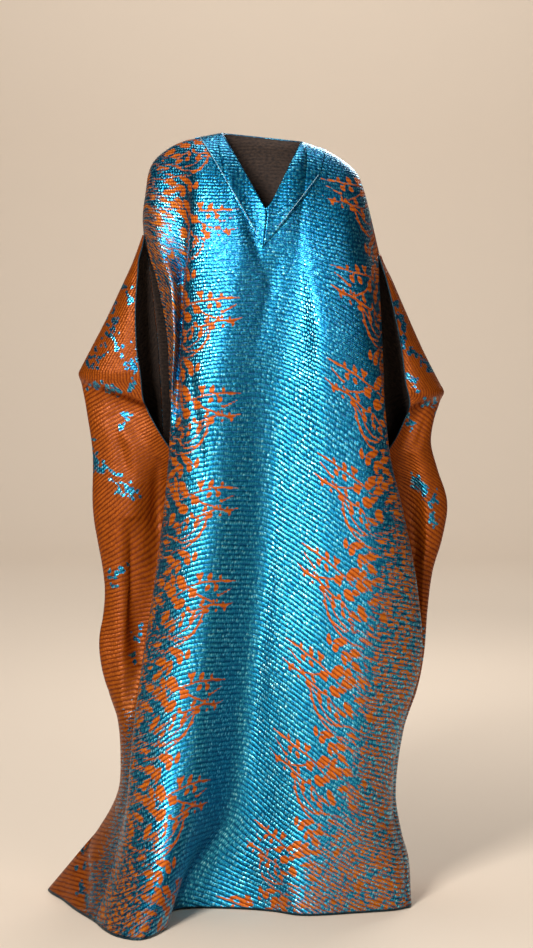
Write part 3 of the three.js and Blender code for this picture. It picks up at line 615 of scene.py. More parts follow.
def woven_ribs(tree, rib, bead):
    """The ribs (0 in the grooves to 1 on the crests), their uneven beads, and a value a bead."""
    weave = add(tree, "ShaderNodeAttribute", out=1, attribute_name="weave")
    split = tree.nodes.new("ShaderNodeSeparateXYZ")
    tree.links.new(weave, split.inputs[0])
    across, down = split.outputs[0], split.outputs[1]
    sway = add(tree, "ShaderNodeTexNoise", (weave, None, 26.0, 2.0))
    loose = add(tree, "ShaderNodeTexNoise", (weave, None, 150.0, 1.0))
    row = maths(tree, "MULTIPLY_ADD", sway, RIB_SWAY, down)
    row = maths(tree, "MULTIPLY_ADD", loose, RIB_STRAY, row)
    row = maths(tree, "DIVIDE", row, rib)
    crest = maths(tree, "SINE", maths(tree, "MULTIPLY", maths(tree, "FRACT", row), math.pi))
    crest = maths(tree, "POWER", crest, 0.5)
    place = maths(tree, "MULTIPLY_ADD", loose, 1.2, maths(tree, "DIVIDE", across, bead))
    spot = add(tree, "ShaderNodeCombineXYZ", (place, maths(tree, "ADD", row, -0.22), 0.0))
    cells = tree.nodes.new("ShaderNodeTexVoronoi")
    cells.voronoi_dimensions = "2D"
    tree.links.new(spot, cells.inputs["Vector"])
    cells.inputs["Scale"].default_value = 1.0
    cells.inputs["Randomness"].default_value = 0.56
    knob = between(tree, cells.outputs["Distance"], 0.12, 0.62, 1.0, 0.0)
    glint = tree.nodes.new("ShaderNodeSeparateColor")
    tree.links.new(cells.outputs["Color"], glint.inputs[0])
    return weave, down, crest, knob, glint.outputs[0], loose


def leaf_scatter(tree, weave, size, seed):
    """Millimetres inside small pointed leaves strewn all over, mostly leaning one way."""
    moved = add(tree, "ShaderNodeMapping", (weave, (seed, seed * 0.7, 0.0)))
    cells = tree.nodes.new("ShaderNodeTexVoronoi")
    cells.voronoi_dimensions = "2D"
    tree.links.new(moved, cells.inputs["Vector"])
    cells.inputs["Scale"].default_value = 1000 / size
    offset = add(tree, "ShaderNodeVectorMath", (moved, cells.outputs["Position"]), operation="SUBTRACT")
    pick = tree.nodes.new("ShaderNodeSeparateColor")
    tree.links.new(cells.outputs["Color"], pick.inputs[0])
    turn = between(tree, pick.outputs[0], 0.0, 1.0, -0.3, 1.9)
    aligned = add(tree, "ShaderNodeVectorRotate", (offset, None, None, None), rotation_type="Z_AXIS")
    tree.links.new(turn, aligned.node.inputs["Angle"])
    split = tree.nodes.new("ShaderNodeSeparateXYZ")
    tree.links.new(aligned, split.inputs[0])
    along = maths(tree, "MULTIPLY", split.outputs[0], 2100 / size)
    half = maths(tree, "MULTIPLY_ADD", pick.outputs[1], 0.12 * size, 0.12 * size)
    swell = maths(tree, "SUBTRACT", 1.0, maths(tree, "MULTIPLY", along, along))
    side = maths(tree, "ABSOLUTE", maths(tree, "MULTIPLY", split.outputs[1], 1000.0))
    return maths(tree, "SUBTRACT", maths(tree, "MULTIPLY", half, swell), side)


def jacquard(name, rib=RIB, bead=BEAD, depth=1.0):
    """The face of the cloth: blue ribs and beads, orange satin, turned edges and a dark band at the hem. Its
    colours carry painted shade in the rib grooves, painted highlights on crests and beads, and with depth
    under 1 the orange is painted darker as shade.
    """
    material, tree, shader = new_material(name)
    weave, weave_down, crest, knob, glint, _ = woven_ribs(tree, rib, bead)
    flower = add(tree, "ShaderNodeAttribute", out=2, attribute_name="flower")
    edges = add(tree, "ShaderNodeAttribute", out=1, attribute_name="edge")
    sides = tree.nodes.new("ShaderNodeSeparateXYZ")
    tree.links.new(edges, sides.inputs[0])
    slit, hem, mingled = sides.outputs
    along_rib = add(tree, "ShaderNodeMapping", (weave, None, None, (72.0, 340.0, 1.0)))
    streak = add(tree, "ShaderNodeTexNoise", (along_rib, None, 1.0, 2.0))
    step = add(tree, "ShaderNodeTexNoise", (weave, None, 420.0, 1.0))
    small, large = leaf_scatter(tree, weave, SMALL_LEAF, 0.3), leaf_scatter(tree, weave, LARGE_LEAF, 1.7)
    leaves = maths(tree, "MAXIMUM", small, large)
    leaves = maths(tree, "ADD", leaves, between(tree, mingled, 0.15, 0.9, -9.0, 0.4))
    flower = maths(tree, "MAXIMUM", flower, maths(tree, "MINIMUM", leaves, 4.0))
    edge = maths(tree, "MULTIPLY_ADD", step, 2.2, maths(tree, "ADD", flower, -0.85))
    ragged = maths(tree, "MULTIPLY", mingled, 46.0)
    ragged = maths(tree, "MULTIPLY", maths(tree, "ADD", streak, -0.53), ragged)
    edge = maths(tree, "ADD", edge, ragged)
    satin = between(tree, edge, -0.35, 0.35)
    fine = between(tree, add(tree, "ShaderNodeTexNoise", (weave, None, 480.0, 2.0)), 0.34, 0.66)
    # Painted shade and highlight in the blue: the colour is darker in the rib grooves and between the beads
    # and lighter on the crests, and the ramp's top stop is a painted highlight colour.
    chest = between(tree, weave_down, -0.75, -0.30, 0.46, 0.74)
    groove_shade = dipped(tree, crest, maths(tree, "SUBTRACT", 0.95, chest))
    bead_and_groove_shade = maths(tree, "MULTIPLY", groove_shade, dipped(tree, knob, chest))
    # Painted glints: random beads are lightened as sparkle, and fine noise adds painted bright specks.
    painted_glint = maths(tree, "MULTIPLY", maths(tree, "MULTIPLY", glint, glint), knob)
    blue_light_and_shade = maths(tree, "MULTIPLY_ADD", painted_glint, 0.34, maths(tree, "MULTIPLY", bead_and_groove_shade, 0.52))
    blue_light_and_shade = maths(tree, "MULTIPLY_ADD", fine, 0.22, blue_light_and_shade)
    blue = shades(tree, blue_light_and_shade, ((0.10, (0.0, 0.040, 0.120)), (0.38, (0.001, 0.12, 0.27)),
                                 (0.60, (0.012, 0.31, 0.50)), (0.80, (0.13, 0.60, 0.78)),
                                 (1.0, (0.50, 0.90, 1.0))))
    # Painted shade in the orange satin: darker in the rib grooves and lighter on the crests, with fine
    # painted specks.
    smooth = maths(tree, "MULTIPLY", crest, maths(tree, "MULTIPLY_ADD", knob, 0.2, 0.68))
    smooth = maths(tree, "MULTIPLY_ADD", fine, 0.16, smooth)
    orange = shades(tree, smooth, ((0.0, (0.07, 0.007, 0.001)), (0.45, (0.29, 0.047, 0.002)),
                                   (1.0, (0.62, 0.145, 0.008))))
    groove = between(tree, weave_down, -0.75, -0.30, 0.9, 0.42)
    knobbed = dipped(tree, knob, maths(tree, "MULTIPLY", chest, 0.62))
    height = maths(tree, "MULTIPLY", dipped(tree, crest, groove), knobbed)
    shader.inputs["Specular IOR Level"].default_value = 0.15
    # The satin's tone varies at random; a depth under 1 darkens the orange all over as painted shade, for the
    # wings.
    tint = add(tree, "ShaderNodeTexNoise", (weave, None, 60.0, 3.0))
    tone_and_shade = shades(tree, tint, ((0.3, (0.8 * depth, 0.75 * depth, 0.7 * depth)),
                               (0.7, (1.1 * depth, 1.08 * depth, 1.05 * depth))))
    orange = mixed(tree, 1.0, orange, tone_and_shade, "MULTIPLY")
    paler = shades(tree, mingled, ((0.1, (1.0, 1.0, 1.0)), (1.0, (0.88, 1.2, 1.4))))
    orange = mixed(tree, 1.0, orange, paler, "MULTIPLY")
    colour = mixed(tree, satin, blue, orange)
    # A nearly black rim runs along the turned slit edges, and a nearly black band along the last 3 to 5 mm
    # above the hem.
    turned = between(tree, slit, 1.5, 3.0, 1.0, 0.0)
    dark_hem_band = between(tree, hem, 3.0, 5.0, 1.0, 0.0)
    colour = mixed(tree, maths(tree, "MAXIMUM", turned, dark_hem_band), colour, (0.012, 0.035, 0.05, 1))
    links = tree.links
    links.new(colour, shader.inputs["Base Color"])
    links.new(maths(tree, "MULTIPLY_ADD", satin, -0.65, 0.95), shader.inputs["Metallic"])
    rough = maths(tree, "MULTIPLY_ADD", glint, -0.12, 0.42)
    links.new(maths(tree, "MULTIPLY_ADD", satin, 0.10, rough), shader.inputs["Roughness"])
    relief = maths(tree, "MULTIPLY_ADD", fine, 0.22, height)
    raised = add(tree, "ShaderNodeBump", (0.8, 0.0015, 1.0, relief))
    links.new(raised, shader.inputs["Normal"])
    links.new(raised, shader.inputs["Coat Normal"])
    links.new(maths(tree, "MULTIPLY_ADD", satin, -0.19, 0.21), shader.inputs["Coat Weight"])
    shader.inputs["Coat Roughness"].default_value = 0.20
    return material


def float_reverse(name):
    """The dull reverse of the cloth, where the loose yarns float."""
    material, tree, shader = new_material(name)
    _, _, crest, _, _, loose = woven_ribs(tree, RIB, BEAD)
    colour = shades(tree, loose, ((0.3, (0.016, 0.009, 0.007)), (0.7, (0.05, 0.028, 0.018))))
    tree.links.new(colour, shader.inputs["Base Color"])
    shader.inputs["Roughness"].default_value = 0.85
    tree.links.new(add(tree, "ShaderNodeBump", (0.5, 0.001, 1.0, crest)), shader.inputs["Normal"])
    return material


# ---- Front panel: made ----------------------------------------------------------------
# The front is cut in one length. Its ribs sag towards the side seams, where the wings pull
# them down. The V, the slit edges and the hem stay open.
weft_sag = (  # level, then how far the ribs sag at each of the front's folds
    (-290, (-60, -25, 0, 0, -5, -8, -3, 2, 10, 35, 40, 42)),
    (-400, (-40, -20, 0, 0, -8, -10, 2, 13, 27, 70, 80, 82)),
    (-640, (10, 5, 0, 0, -12, -5, 17, 39, 62, 115, 128, 130)),
    (-1000, (45, 40, 22, 0, -10, -2, 20, 44, 75, 150, 175, 178)),
    (-1350, (60, 55, 35, 0, -15, -15, 24, 52, 81, 150, 180, 185)))
pattern_middle = (  # level, and the fold position of the plain middle of the pattern
    (-150, 5.5), (-250, 6.05), (-400, 6.17), (-500, 5.72), (-704, 5.34), (-894, 5.14), (-1092, 5.02),
    (-1294, 4.85), (-1498, 5.0))
front_plain = (  # level, and half the width of the plain middle
    (-150, 84), (-300, 93), (-480, 86), (-700, 77), (-882, 62), (-1077, 61), (-1300, 64), (-1536, 64))
left_tips = (17, -161, -339, -527, -711, -891, -1085, -1285, -1480, -1675)
right_tips = (82, -82, -246, -410, -581, -769, -964, -1147, -1338, -1500, -1665)


def at_levels(table, level):
    """Table values at a level, straight from row to row."""
    levels = [-row[0] for row in table]
    return np.interp(-level, levels, [row[1] for row in table])


def sagging(table, columns, level):
    """How far the ribs hang down at each point, smoothed across the folds."""
    folds = range(len(table[0][1]))
    rows = np.array([np.interp(columns, folds, row[1]) for row in table])
    soft = np.hanning(15) / np.hanning(15).sum()
    rows = np.array([np.convolve(np.pad(row, 7, mode="edge"), soft, "valid") for row in rows])
    levels = [-row[0] for row in table]
    return np.array([np.interp(-level[c], levels, rows[:, c]) for c in range(len(columns))])


def edge_distance(grid, level):
    """How far in from the free slit edge, and how far up from the hem, in millimetres."""
    step = np.linalg.norm(np.diff(grid, axis=0), axis=2)
    start = np.zeros((1, grid.shape[1]))
    left = np.concatenate([start, np.cumsum(step, axis=0)])
    right = np.concatenate([np.cumsum(step[::-1], axis=0)[::-1], start])
    return left, right, level - HEM


CLOSER, CLOSER_FROM, CLOSER_TO = 0.33, -480, 400


def rib_measure(down):
    """Down the cloth in the ribs' own measure: they lie closer together up at the chest."""
    return down + CLOSER * (np.clip(down, CLOSER_FROM, CLOSER_TO) - CLOSER_FROM)


def panel_values(grid, across, down, level, flower, mingled, open_left, open_right):
    left, right, hem = edge_distance(grid, level)
    slit = np.minimum(left + 99 * (not open_left), right + 99 * (not open_right))
    slit = slit + 99 * ((level < SLIT_END) | (level > SLIT_TOP))
    weave = np.stack([across, rib_measure(down), 0 * down], axis=-1) / 1000
    edges = np.stack([slit, hem, mingled], axis=-1)
    return {"weave": weave, "flower": flower, "edge": edges}


def petals_at(x, z, seed, sprigs):
    """Millimetres outside small petals strewn along each sprig."""
    rng = np.random.default_rng(seed)
    outside = np.full(x.shape, 8.0)
    for x0, z0, x1, z1, spread, count in sprigs:
        for _ in range(count):
            t = rng.uniform()
            px = x0 + (x1 - x0) * t + rng.normal(0, spread)
            pz = z0 + (z1 - z0) * t + rng.normal(0, spread)
            turn, length = rng.uniform(0, 360), rng.uniform(7, 14)
            depth = leaf_depth(x - px, pz - z, length, length * rng.uniform(0.45, 0.7), turn)
            outside = np.minimum(outside, -depth)
    return outside


front_columns = even_columns(front_plan, 11, 205, middle=5.5)
front_grid, front_level, front_depth = hang_panel(front_top, front_yoke_foot, front_plan, front_columns)
front_grid[:, YOKE_ROWS:] = rounded_folds(front_grid[:, YOKE_ROWS:])
middle_column = len(front_columns) // 2
front_middle = at_levels(pattern_middle, front_level[middle_column])
front_across = measure_across(front_grid, front_depth, front_columns, front_middle)
front_down = front_level + sagging(weft_sag, front_columns, front_level) * front_depth
front_flower, front_mingled = woven_flowers(front_across, front_down, left_tips, right_tips,
                                              at_levels(front_plain, front_level))
hem_sprigs = (  # x and z at both ends, spread, number of petals
    (-60, -1516, 70, -1520, 5, 22), (70, -1516, 180, -1508, 7, 26), (180, -1512, 270, -1500, 8, 26))
front_flower = np.maximum(front_flower, -petals_at(front_grid[..., 0], front_grid[..., 2], 6, hem_sprigs))
front_creases = (  # across and down at both ends, width and depth, in millimetres
    (-10, -250, -60, -440, 14, 3.5), (-70, -180, -20, -330, 12, 2.5), (-190, -470, -150, -700, 10, 4))
front_grid = add_creases(front_grid, -1, front_across, front_down, front_creases)
blue_jacquard = jacquard("blue_jacquard")
cloth_reverse = float_reverse("cloth_reverse")
front_values = panel_values(front_grid, front_across, front_down, front_level, front_flower,
                            front_mingled, True, True)
front = cloth_shell("front_cloth", close_seam(front_grid), -1, front_values,
                    [blue_jacquard, cloth_reverse])
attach(front, "root")
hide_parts("front_panel")

# ---- Back panel -----------------------------------------------------------------------
# The back is a second length of the same jacquard with a shallow curved neck, seamed to the
# front along the shoulders and to the wings down both sides. It hangs in fewer, flatter folds.
back_folds = (  # side, blade, roll and neck of the left half, spine, and the right half
    (-206, (-205, -160, -112, -65, 0, 64, 110, 158, 205), (56, 80, 90, 92, 88, 92, 90, 80, 52)),
    (-290, (-196, -152, -106, -62, 0, 62, 108, 154, 200), (82, 98, 106, 108, 100, 106, 104, 96, 78)),
    (-500, (-180, -142, -100, -58, 0, 58, 104, 148, 188),
        (112, 122, 136, 128, 118, 130, 134, 120, 106)),
    (-760, (-172, -138, -98, -58, 0, 60, 106, 150, 195), (140, 142, 170, 150, 138, 158, 166, 142, 134)),
    (-1050, (-180, -146, -102, -60, 0, 62, 110, 155, 198),
        (172, 168, 212, 180, 165, 192, 204, 168, 162)),
    (-1350, (-196, -158, -110, -64, 0, 64, 114, 160, 198),
        (205, 192, 248, 208, 192, 222, 236, 188, 182)),
    (-1536, (-250, -190, -128, -72, 0, 66, 118, 166, 206),
        (232, 212, 276, 226, 206, 240, 256, 200, 186)),)
BACK_NECK = (4, 5, 6)         # fold positions: left neck point, middle, right neck point
NECK_DEPTH, NECK_RISE, NECK_SLOPE = 52, 5, 1.3
BACK_PLAIN = 90               # half the width of the plain middle
back_yoke_foot = front_yoke_foot[:5] + front_yoke_foot[6:]


def back_plan(level):
    front, left, right = wing_and_front(level)
    back = read_folds(back_folds, level)
    return np.concatenate([left[:, -2:], back, right[:, :-3:-1]], axis=1)


def back_top(along):
    start, centre, end = BACK_NECK
    share = np.clip((along - start) / (end - start), 0, 1)[:, None]
    bow = np.sin(np.pi * share)
    neck = neck_left + (neck_right - neck_left) * (1 - np.cos(np.pi * share)) / 2
    neck = neck + bow * np.array([0, NECK_DEPTH, NECK_RISE])
    in_neck = ((along > start) & (along < end))[:, None]
    leave = unit(np.concatenate([0 * bow, 1 + 0 * bow, -NECK_SLOPE * bow], axis=1))
    return np.where(in_neck, neck, over_shoulders(along, start, end)), np.where(in_neck, leave, [0, 1, 0])


back_columns = even_columns(back_plan, 10, 150)
back_grid, back_level, back_depth = hang_panel(back_top, back_yoke_foot, back_plan, back_columns)
back_across = measure_across(back_grid, back_depth, back_columns, np.full(back_grid.shape[1], 5.0))
back_flower, back_mingled = woven_flowers(back_across, back_level, left_tips, left_tips, BACK_PLAIN)
back_values = panel_values(back_grid, back_across, back_level, back_level, back_flower,
                           back_mingled, False, False)
back = cloth_shell("back_cloth", close_seam(back_grid), 1, back_values, [blue_jacquard, cloth_reverse])
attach(back, "root")
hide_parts("back_panel")

# ---- Side wings -----------------------------------------------------------------------
# A wing is a gore of orange ground with blue blossoms, doubled over at the arm's side. Its
# front edge is free along the arm slit and sewn to the front below it; its back edge is sewn
# to the back. At the elbow the doubled cloth drops over itself in a crease.
CREASE_DEPTH, CREASE_DROP, CREASE_FADE = 24, 16, 100
ROUND_FOLD, DEPTH_AT_FOLD = 0.6, 0.35
OUTER_FOLD, BACK_SEAM = 3, 5  # fold positions
SEAM_HOLD = 0.6               # fold positions over which the creases run out at the seams
PEAK_RISE, PEAK_DROP, PEAK_HEIGHT = 3, 1.2, 40
MOTTLED_WIDTH, MOTTLED_TOP, MOTTLED_FADE = 130, -1020, 200
wing_rib_slope = (            # distance below the neck point, and how steeply the ribs rise
    (500, 700, 900, 1540), (0.42, 0.8, 0.25, 0.1))
elbow_crease = {"left": (-536, -484), "right": (-546, -518)}    # at the slit, at the outer fold


def wing_plan(side):
    def plan(level):
        front, left, right = wing_and_front(level)
        back = read_folds(back_folds, level)
        if side == "left":
            return np.concatenate([front[:, 1:2], left, back[:, :1]], axis=1)
        return np.concatenate([front[:, -2:-1], right, back[:, -1:]], axis=1)
    return plan


def soft(v):
    return v * v * (3 - 2 * v)


def crease_line(side, along):
    slit, corner = elbow_crease[side]
    return slit + (corner - slit) * np.minimum(1, along / OUTER_FOLD)


def crease_push(side, along, level):
    """How far the front layer is pushed back under the elbow crease."""
    across = np.minimum(1, along / OUTER_FOLD)
    below = crease_line(side, along) - level
    rise = soft(np.clip(below / CREASE_DROP, 0, 1))
    fall = soft(np.clip((below - CREASE_DROP) / CREASE_FADE, 0, 1))
    ahead = np.minimum(1, DEPTH_AT_FOLD + 2 * (1 - DEPTH_AT_FOLD) * (1 - across))
    behind = DEPTH_AT_FOLD * np.clip(1 - (along - OUTER_FOLD) / ROUND_FOLD, 0, 1)
    return CREASE_DEPTH * np.where(along < OUTER_FOLD, ahead, behind) * rise * (1 - fall)


def hang_wing(side, top, count):
    plan = wing_plan(side)
    columns = even_columns(plan, BACK_SEAM, count)
    rows = round((top - HEM) / THREAD_STEP)
    level = np.broadcast_to(np.linspace(top, HEM, rows + 1), (count, rows + 1))
    grid = hang_at(plan, columns[:, None], level)[0]
    grid[..., 1] += crease_push(side, columns[:, None], level)
    arch = np.sin(np.pi * np.linspace(0, 1, count))[:, None]
    grid[..., 2] += (PEAK_RISE * arch - PEAK_DROP) * np.clip(1 - (top - level) / PEAK_HEIGHT, 0, 1)
    return grid, columns, level


def make_wing(side, top, count, facing, seed, sprigs, hollows):
    grid, columns, level = hang_wing(side, top, count)
    ahead = np.where(columns[:, None] < OUTER_FOLD, grid[..., 0], 0)
    hold = soft(np.clip(np.minimum(columns, BACK_SEAM - columns) / SEAM_HOLD, 0, 1))[:, None, None]
    grid = grid + (add_creases(grid, facing, ahead, grid[..., 2], hollows) - grid) * hold
    step = np.linalg.norm(np.diff(grid, axis=0), axis=2)
    across = np.concatenate([np.zeros((1, grid.shape[1])), np.cumsum(step, axis=0)])
    fold = columns.searchsorted(OUTER_FOLD)
    flap = level > crease_line(side, columns[:, None])
    run = across - across[fold]
    slope = np.interp(-level, *wing_rib_slope)
    down = np.where(flap, run, level - slope * np.abs(run) * np.sign(-run))
    over = np.where(flap, level, run)
    way = -1 if side == "left" else 1
    print_x = np.where(run < 0, grid[..., 0], grid[fold, :, 0] + way * run)
    rng = np.random.default_rng(seed)
    behind = [(way * rng.uniform(390, 640), z, way * rng.uniform(390, 640), z - rng.uniform(10, 60), 9, 12)
              for z in rng.uniform(HEM, top, 22)]
    flower = petals_at(print_x, grid[..., 2], seed, (*sprigs, *behind))
    mottled = np.clip(1.15 - across / MOTTLED_WIDTH, 0, 1)
    mottled = mottled * np.clip((MOTTLED_TOP - level) / MOTTLED_FADE, 0, 1)
    flower = np.minimum(flower, 8 - 9 * mottled)
    values = panel_values(grid, over, down, level, flower, 0.12 + 0.8 * mottled, True, False)
    wing = cloth_shell(f"wing_cloth_{side}", close_seam(grid), facing, values,
                       [orange_jacquard, cloth_reverse], every=(2, 2))
    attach(wing, "root")
    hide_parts(f"side_wing_{side}")


left_sprigs = (  # x and z at both ends, spread, number of petals
    (-266, -300, -262, -345, 5, 15), (-290, -340, -310, -400, 6, 17), (-300, -395, -345, -475, 7, 27),
    (-252, -420, -262, -520, 6, 25), (-285, -425, -270, -470, 5, 11), (-338, -505, -278, -515, 6, 28),
    (-262, -560, -285, -590, 6, 14), (-345, -620, -330, -660, 6, 15), (-332, -665, -256, -725, 8, 52),
    (-280, -870, -300, -900, 8, 15), (-250, -980, -262, -1060, 7, 14), (-320, -1180, -300, -1240, 7, 13),
    (-396, -1440, -280, -1500, 12, 40), (-360, -1500, -300, -1530, 8, 24))
right_sprigs = (
    (262, -330, 286, -400, 5, 20), (276, -400, 290, -440, 5, 14), (300, -440, 345, -480, 6, 21),
    (290, -480, 306, -500, 5, 12), (318, -520, 352, -560, 6, 15), (290, -560, 300, -600, 5, 11),
    (300, -690, 356, -745, 8, 46), (340, -760, 350, -800, 5, 14), (318, -980, 326, -1060, 5, 12))
# depth=0.58 paints the wings' orange darker than the front's flowers, as painted shade.
orange_jacquard = jacquard("orange_jacquard", rib=0.0084, depth=0.58)
left_hollows = (  # x and z at both ends, width, depth
    (-262, -770, -248, -1070, 20, 20), (-304, -560, -262, -700, 13, 6), (-206, -650, -212, -800, 12, 8),
    (-330, -960, -312, -1120, 12, -6), (-370, -1400, -350, -1530, 16, 10))
right_hollows = ((300, -640, 316, -860, 16, 10), (270, -700, 262, -900, 14, 7), (330, -560, 306, -640, 10, 5))
make_wing("left", -206.0, 112, 1, 3, left_sprigs, left_hollows)
make_wing("right", -245.0, 84, -1, 4, right_sprigs, right_hollows)

# ---- Neck bands -----------------------------------------------------------------------
# Three strips of the plain blue part of the cloth face the neck edge: one on each arm of the
# V and one behind the neck. They lie on the panels, and the arms of the V are topstitched
# along the lower edge.
BAND_WALL, BAND_LIFT = 1.4, 0.3
band_line_left = ((-12, -226), (-124, -4))
band_line_right = ((-54, -99, -133, -183, -230), (129, 109, 87, 48, 6))
BACK_BAND = 40.0
LEAST_BAND = 0.06             # share of the yoke that a band covers at its ends
BAND_COLUMNS, BAND_ROWS = 70, 16
BAND_TILT = 0.12              # how far the bands' ribs lean


def line_x(line, z):
    levels, xs = np.array(line, float)
    part = np.clip(np.searchsorted(-levels, -z) - 1, 0, len(levels) - 2)
    a, b = levels[part], levels[part + 1]
    return xs[part] + (xs[part + 1] - xs[part]) * (z - a) / (b - a)


def band_share(top, foot, plan, columns, inside):
    """How much of the yoke the band covers at each column."""
    low, high = np.zeros(len(columns)), np.ones(len(columns))
    for _ in range(24):
        mid = (low + high) / 2
        point = yoke_at(top, foot, plan, columns, mid[:, None])[:, 0]
        within = inside(point)
        low, high = np.where(within, mid, low), np.where(within, high, mid)
    return low


def make_band(name, node, facing, top, foot, plan, first, last, inside, fade=False):
    columns = np.linspace(first, last, BAND_COLUMNS)
    share = band_share(top, foot, plan, columns, inside)
    if fade:
        share = share * np.clip(np.minimum(columns - first, last - columns), 0, 1)
    share = np.maximum(share, LEAST_BAND)
    rows, fine = np.linspace(0, 1, BAND_ROWS), np.linspace(0, 1, 200)
    grid = yoke_at(top, foot, plan, columns, share[:, None] * rows)
    whole = yoke_at(top, foot, plan, columns, np.broadcast_to(fine, (len(columns), len(fine))))
    run = np.cumsum(np.linalg.norm(np.diff(whole, axis=1), axis=2), axis=1)
    length = np.concatenate([np.zeros((len(columns), 1)), run], axis=1)
    start = np.interp(columns, range(len(foot)), foot)
    above = [start[c] + length[c, -1] - np.interp(share[c] * rows, fine, length[c])
             for c in range(len(columns))]
    across = grid[..., 0]
    down = np.array(above) + BAND_TILT * across
    values = panel_values(grid, across, down, 0 * down, 0 * down - 9, 0 * down, False, False)
    band = cloth_shell(name, close_seam(grid), facing, values, [band_cloth, cloth_reverse],
                       wall=BAND_WALL, every=(1, 1), lift=BAND_LIFT + BAND_WALL)
    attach(band, "root")
    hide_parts(node)
    return band, grid


band_cloth = jacquard("band_cloth", bead=0.007)
front_yoke = (front_top, front_yoke_foot, front_plan)
band_left, band_left_grid = make_band(
    "neck_strip_left", "neck_band_left", -1, *front_yoke, 3, 5,
    lambda p: p[:, 0] > line_x(band_line_left, p[:, 2]))
band_right, band_right_grid = make_band(
    "neck_strip_right", "neck_band_right", -1, *front_yoke, 5, 8,
    lambda p: p[:, 0] < line_x(band_line_right, p[:, 2]))
back_neck_edge = back_top(np.linspace(3, 7, BAND_COLUMNS))[0]
band_back, _ = make_band(
    "neck_strip_back", "neck_band_back", 1, back_top, back_yoke_foot, back_plan, 3, 7,
    lambda p: np.linalg.norm(p - back_neck_edge, axis=1) < BACK_BAND, fade=True)

# ---- Topstitching ---------------------------------------------------------------------
# One row of pale machine stitches holds each arm of the V facing down, 3 mm in from its lower
# edge. Each stitch is a short raised thread, thickest at its middle.
STITCH, STITCH_GAP, THREAD = 4.8, 0.7, 0.45
THREAD_SIDES, THREAD_OFF = 6, 0.25
stitch_shape = (              # along a stitch, and how thick it is there
    (0, 0.35), (0.25, 0.9), (0.5, 1), (0.75, 0.9), (1, 0.35))


def sew_row(name, line, normal):
    """Short threads end to end along a line, standing just off the cloth."""
    length = np.concatenate([[0], np.cumsum(np.linalg.norm(np.diff(line, axis=0), axis=1))])
    starts = np.arange(2.0, length[-1] - STITCH, STITCH + STITCH_GAP)
    turns = np.arange(THREAD_SIDES) * 2 * math.pi / THREAD_SIDES
    points, faces = [], []
    for start in starts:
        rings = len(points) + np.arange(len(stitch_shape) * THREAD_SIDES).reshape(-1, THREAD_SIDES)
        beside = np.roll(rings, -1, axis=1)
        walls = np.stack([rings[:-1], beside[:-1], beside[1:], rings[1:]], axis=-1)
        faces += [*walls.reshape(-1, 4).tolist(), rings[0, ::-1].tolist(), rings[-1].tolist()]
        for share, swell in stitch_shape:
            at = start + STITCH * share
            middle = np.array([np.interp(at, length, line[:, k]) for k in range(3)])
            up = unit(np.array([np.interp(at, length, normal[:, k]) for k in range(3)]))
            ahead = np.array([np.interp(at + 1, length, line[:, k]) for k in range(3)]) - middle
            aside = unit(np.cross(up, ahead))
            middle = middle + up * (BAND_LIFT + BAND_WALL + THREAD_OFF)
            for turn in turns:
                way = aside * math.cos(turn) + up * math.sin(turn)
                points.append((middle + THREAD * swell * way) / 1000)
    mesh = bpy.data.meshes.new(name)
    mesh.from_pydata([tuple(p) for p in points], [], faces)
    mesh.polygons.foreach_set("use_smooth", [True] * len(faces))
    mesh.materials.append(stitch_thread)
    row = bpy.data.objects.new(name, mesh)
    bpy.context.collection.objects.link(row)
    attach(row, "root")


stitch_thread, thread_tree, thread_shader = new_material("stitch_thread")
twist = add(thread_tree, "ShaderNodeTexNoise", (None, None, 900.0, 2.0))
thread_tree.links.new(shades(thread_tree, twist, ((0.3, (0.22, 0.55, 0.66)), (0.7, (0.66, 0.86, 0.90)))),
                      thread_shader.inputs["Base Color"])
thread_shader.inputs["Roughness"].default_value = 0.45
sewn_rows = (  # side, the band's points, first and last column that is sewn
    ("left", band_left_grid, 0, 66), ("right", band_right_grid, 12, 68))
for side, grid, first, last in sewn_rows:
    sew_row(f"topstitch_{side}", grid[first:last, -2], outward(grid, -1)[first:last, -2])

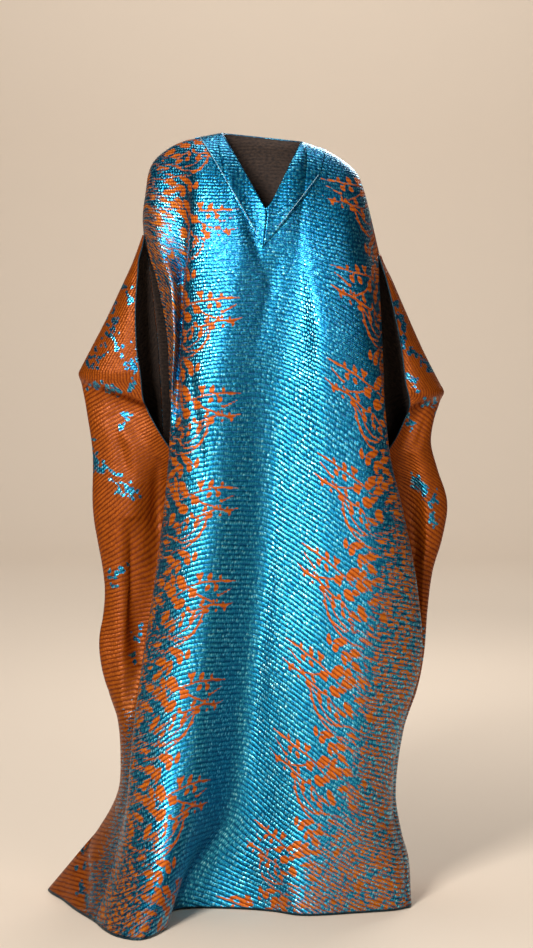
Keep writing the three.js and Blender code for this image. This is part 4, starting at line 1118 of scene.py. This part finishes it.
# ---- The room -------------------------------------------------------------------------
# A pale plain floor that curves up into a backdrop, soft light from high on the left, and the
# camera at chest height.
WALL_AT, WALL_TOP, FLOOR_AT, CURVE = 10.5, 5.0, -1.5375, 2.4
FRONT_EDGE, HALF_WIDTH = -7.0, 7.0
profile = [(FRONT_EDGE, FLOOR_AT), (WALL_AT - CURVE, FLOOR_AT)]
profile += [(WALL_AT - CURVE + CURVE * math.sin(a), FLOOR_AT + CURVE - CURVE * math.cos(a))
            for a in np.linspace(0, math.pi / 2, 12)[1:]]
profile += [(WALL_AT, WALL_TOP)]
room_mesh = bpy.data.meshes.new("room")
room_mesh.from_pydata([(x, y, z) for y, z in profile for x in (-HALF_WIDTH, HALF_WIDTH)], [],
                      [(2 * i, 2 * i + 1, 2 * i + 3, 2 * i + 2) for i in range(len(profile) - 1)])
room_mesh.polygons.foreach_set("use_smooth", [True] * len(room_mesh.polygons))
room = bpy.data.objects.new("room", room_mesh)
bpy.context.collection.objects.link(room)
room_finish, room_tree, room_shader = new_material("pale_floor")
room_shader.inputs["Base Color"].default_value = (0.72, 0.60, 0.48, 1)
room_shader.inputs["Roughness"].default_value = 0.9
room_mesh.materials.append(room_finish)


def soft_light(name, place, aim, size, watts, colour):
    lamp = bpy.data.lights.new(name, "AREA")
    lamp.energy = watts
    lamp.size = size
    lamp.color = colour
    light = bpy.data.objects.new(name, lamp)
    light.location = place
    light.rotation_euler = (Vector(aim) - Vector(place)).to_track_quat("-Z", "Y").to_euler()
    bpy.context.collection.objects.link(light)


soft_light("window", (-1.6, -4.1, 1.4), (0, 0, -0.6), 1.0, 286, (1, 0.98, 0.95))
soft_light("fill", (1.9, -4.2, 0.6), (0.25, 0, -0.4), 1.2, 42, (1, 0.97, 0.94))
soft_light("ceiling", (0.2, 1.0, 3.4), (0, 3.6, -1.0), 2.6, 88, (1, 1, 1))
soft_light("back", (1.2, 3.3, 1.5), (0, 0.2, -0.7), 1.5, 60, (1, 0.98, 0.96))
soft_light("wall", (0.3, 5.2, 5.0), (0, 10.5, 0.4), 4.0, 330, (1, 1, 1))
world = bpy.data.worlds.new("room_light")
world.use_nodes = True
world.node_tree.nodes["Background"].inputs[0].default_value = (1, 0.95, 0.90, 1)
world.node_tree.nodes["Background"].inputs[1].default_value = 0.06
bpy.context.scene.world = world

LENS, CAMERA_AT, LOOKS_DOWN = 94.94, (0.009, -5.0, -0.430), 2.885    # millimetres, metres, degrees
camera_data = bpy.data.cameras.new("camera")
camera_data.lens = LENS
camera = bpy.data.objects.new("camera", camera_data)
camera.location = CAMERA_AT
camera.rotation_euler = (math.radians(90 - LOOKS_DOWN), 0, 0)
bpy.context.collection.objects.link(camera)
bpy.context.scene.camera = camera
bpy.context.scene.view_settings.view_transform = "Standard"
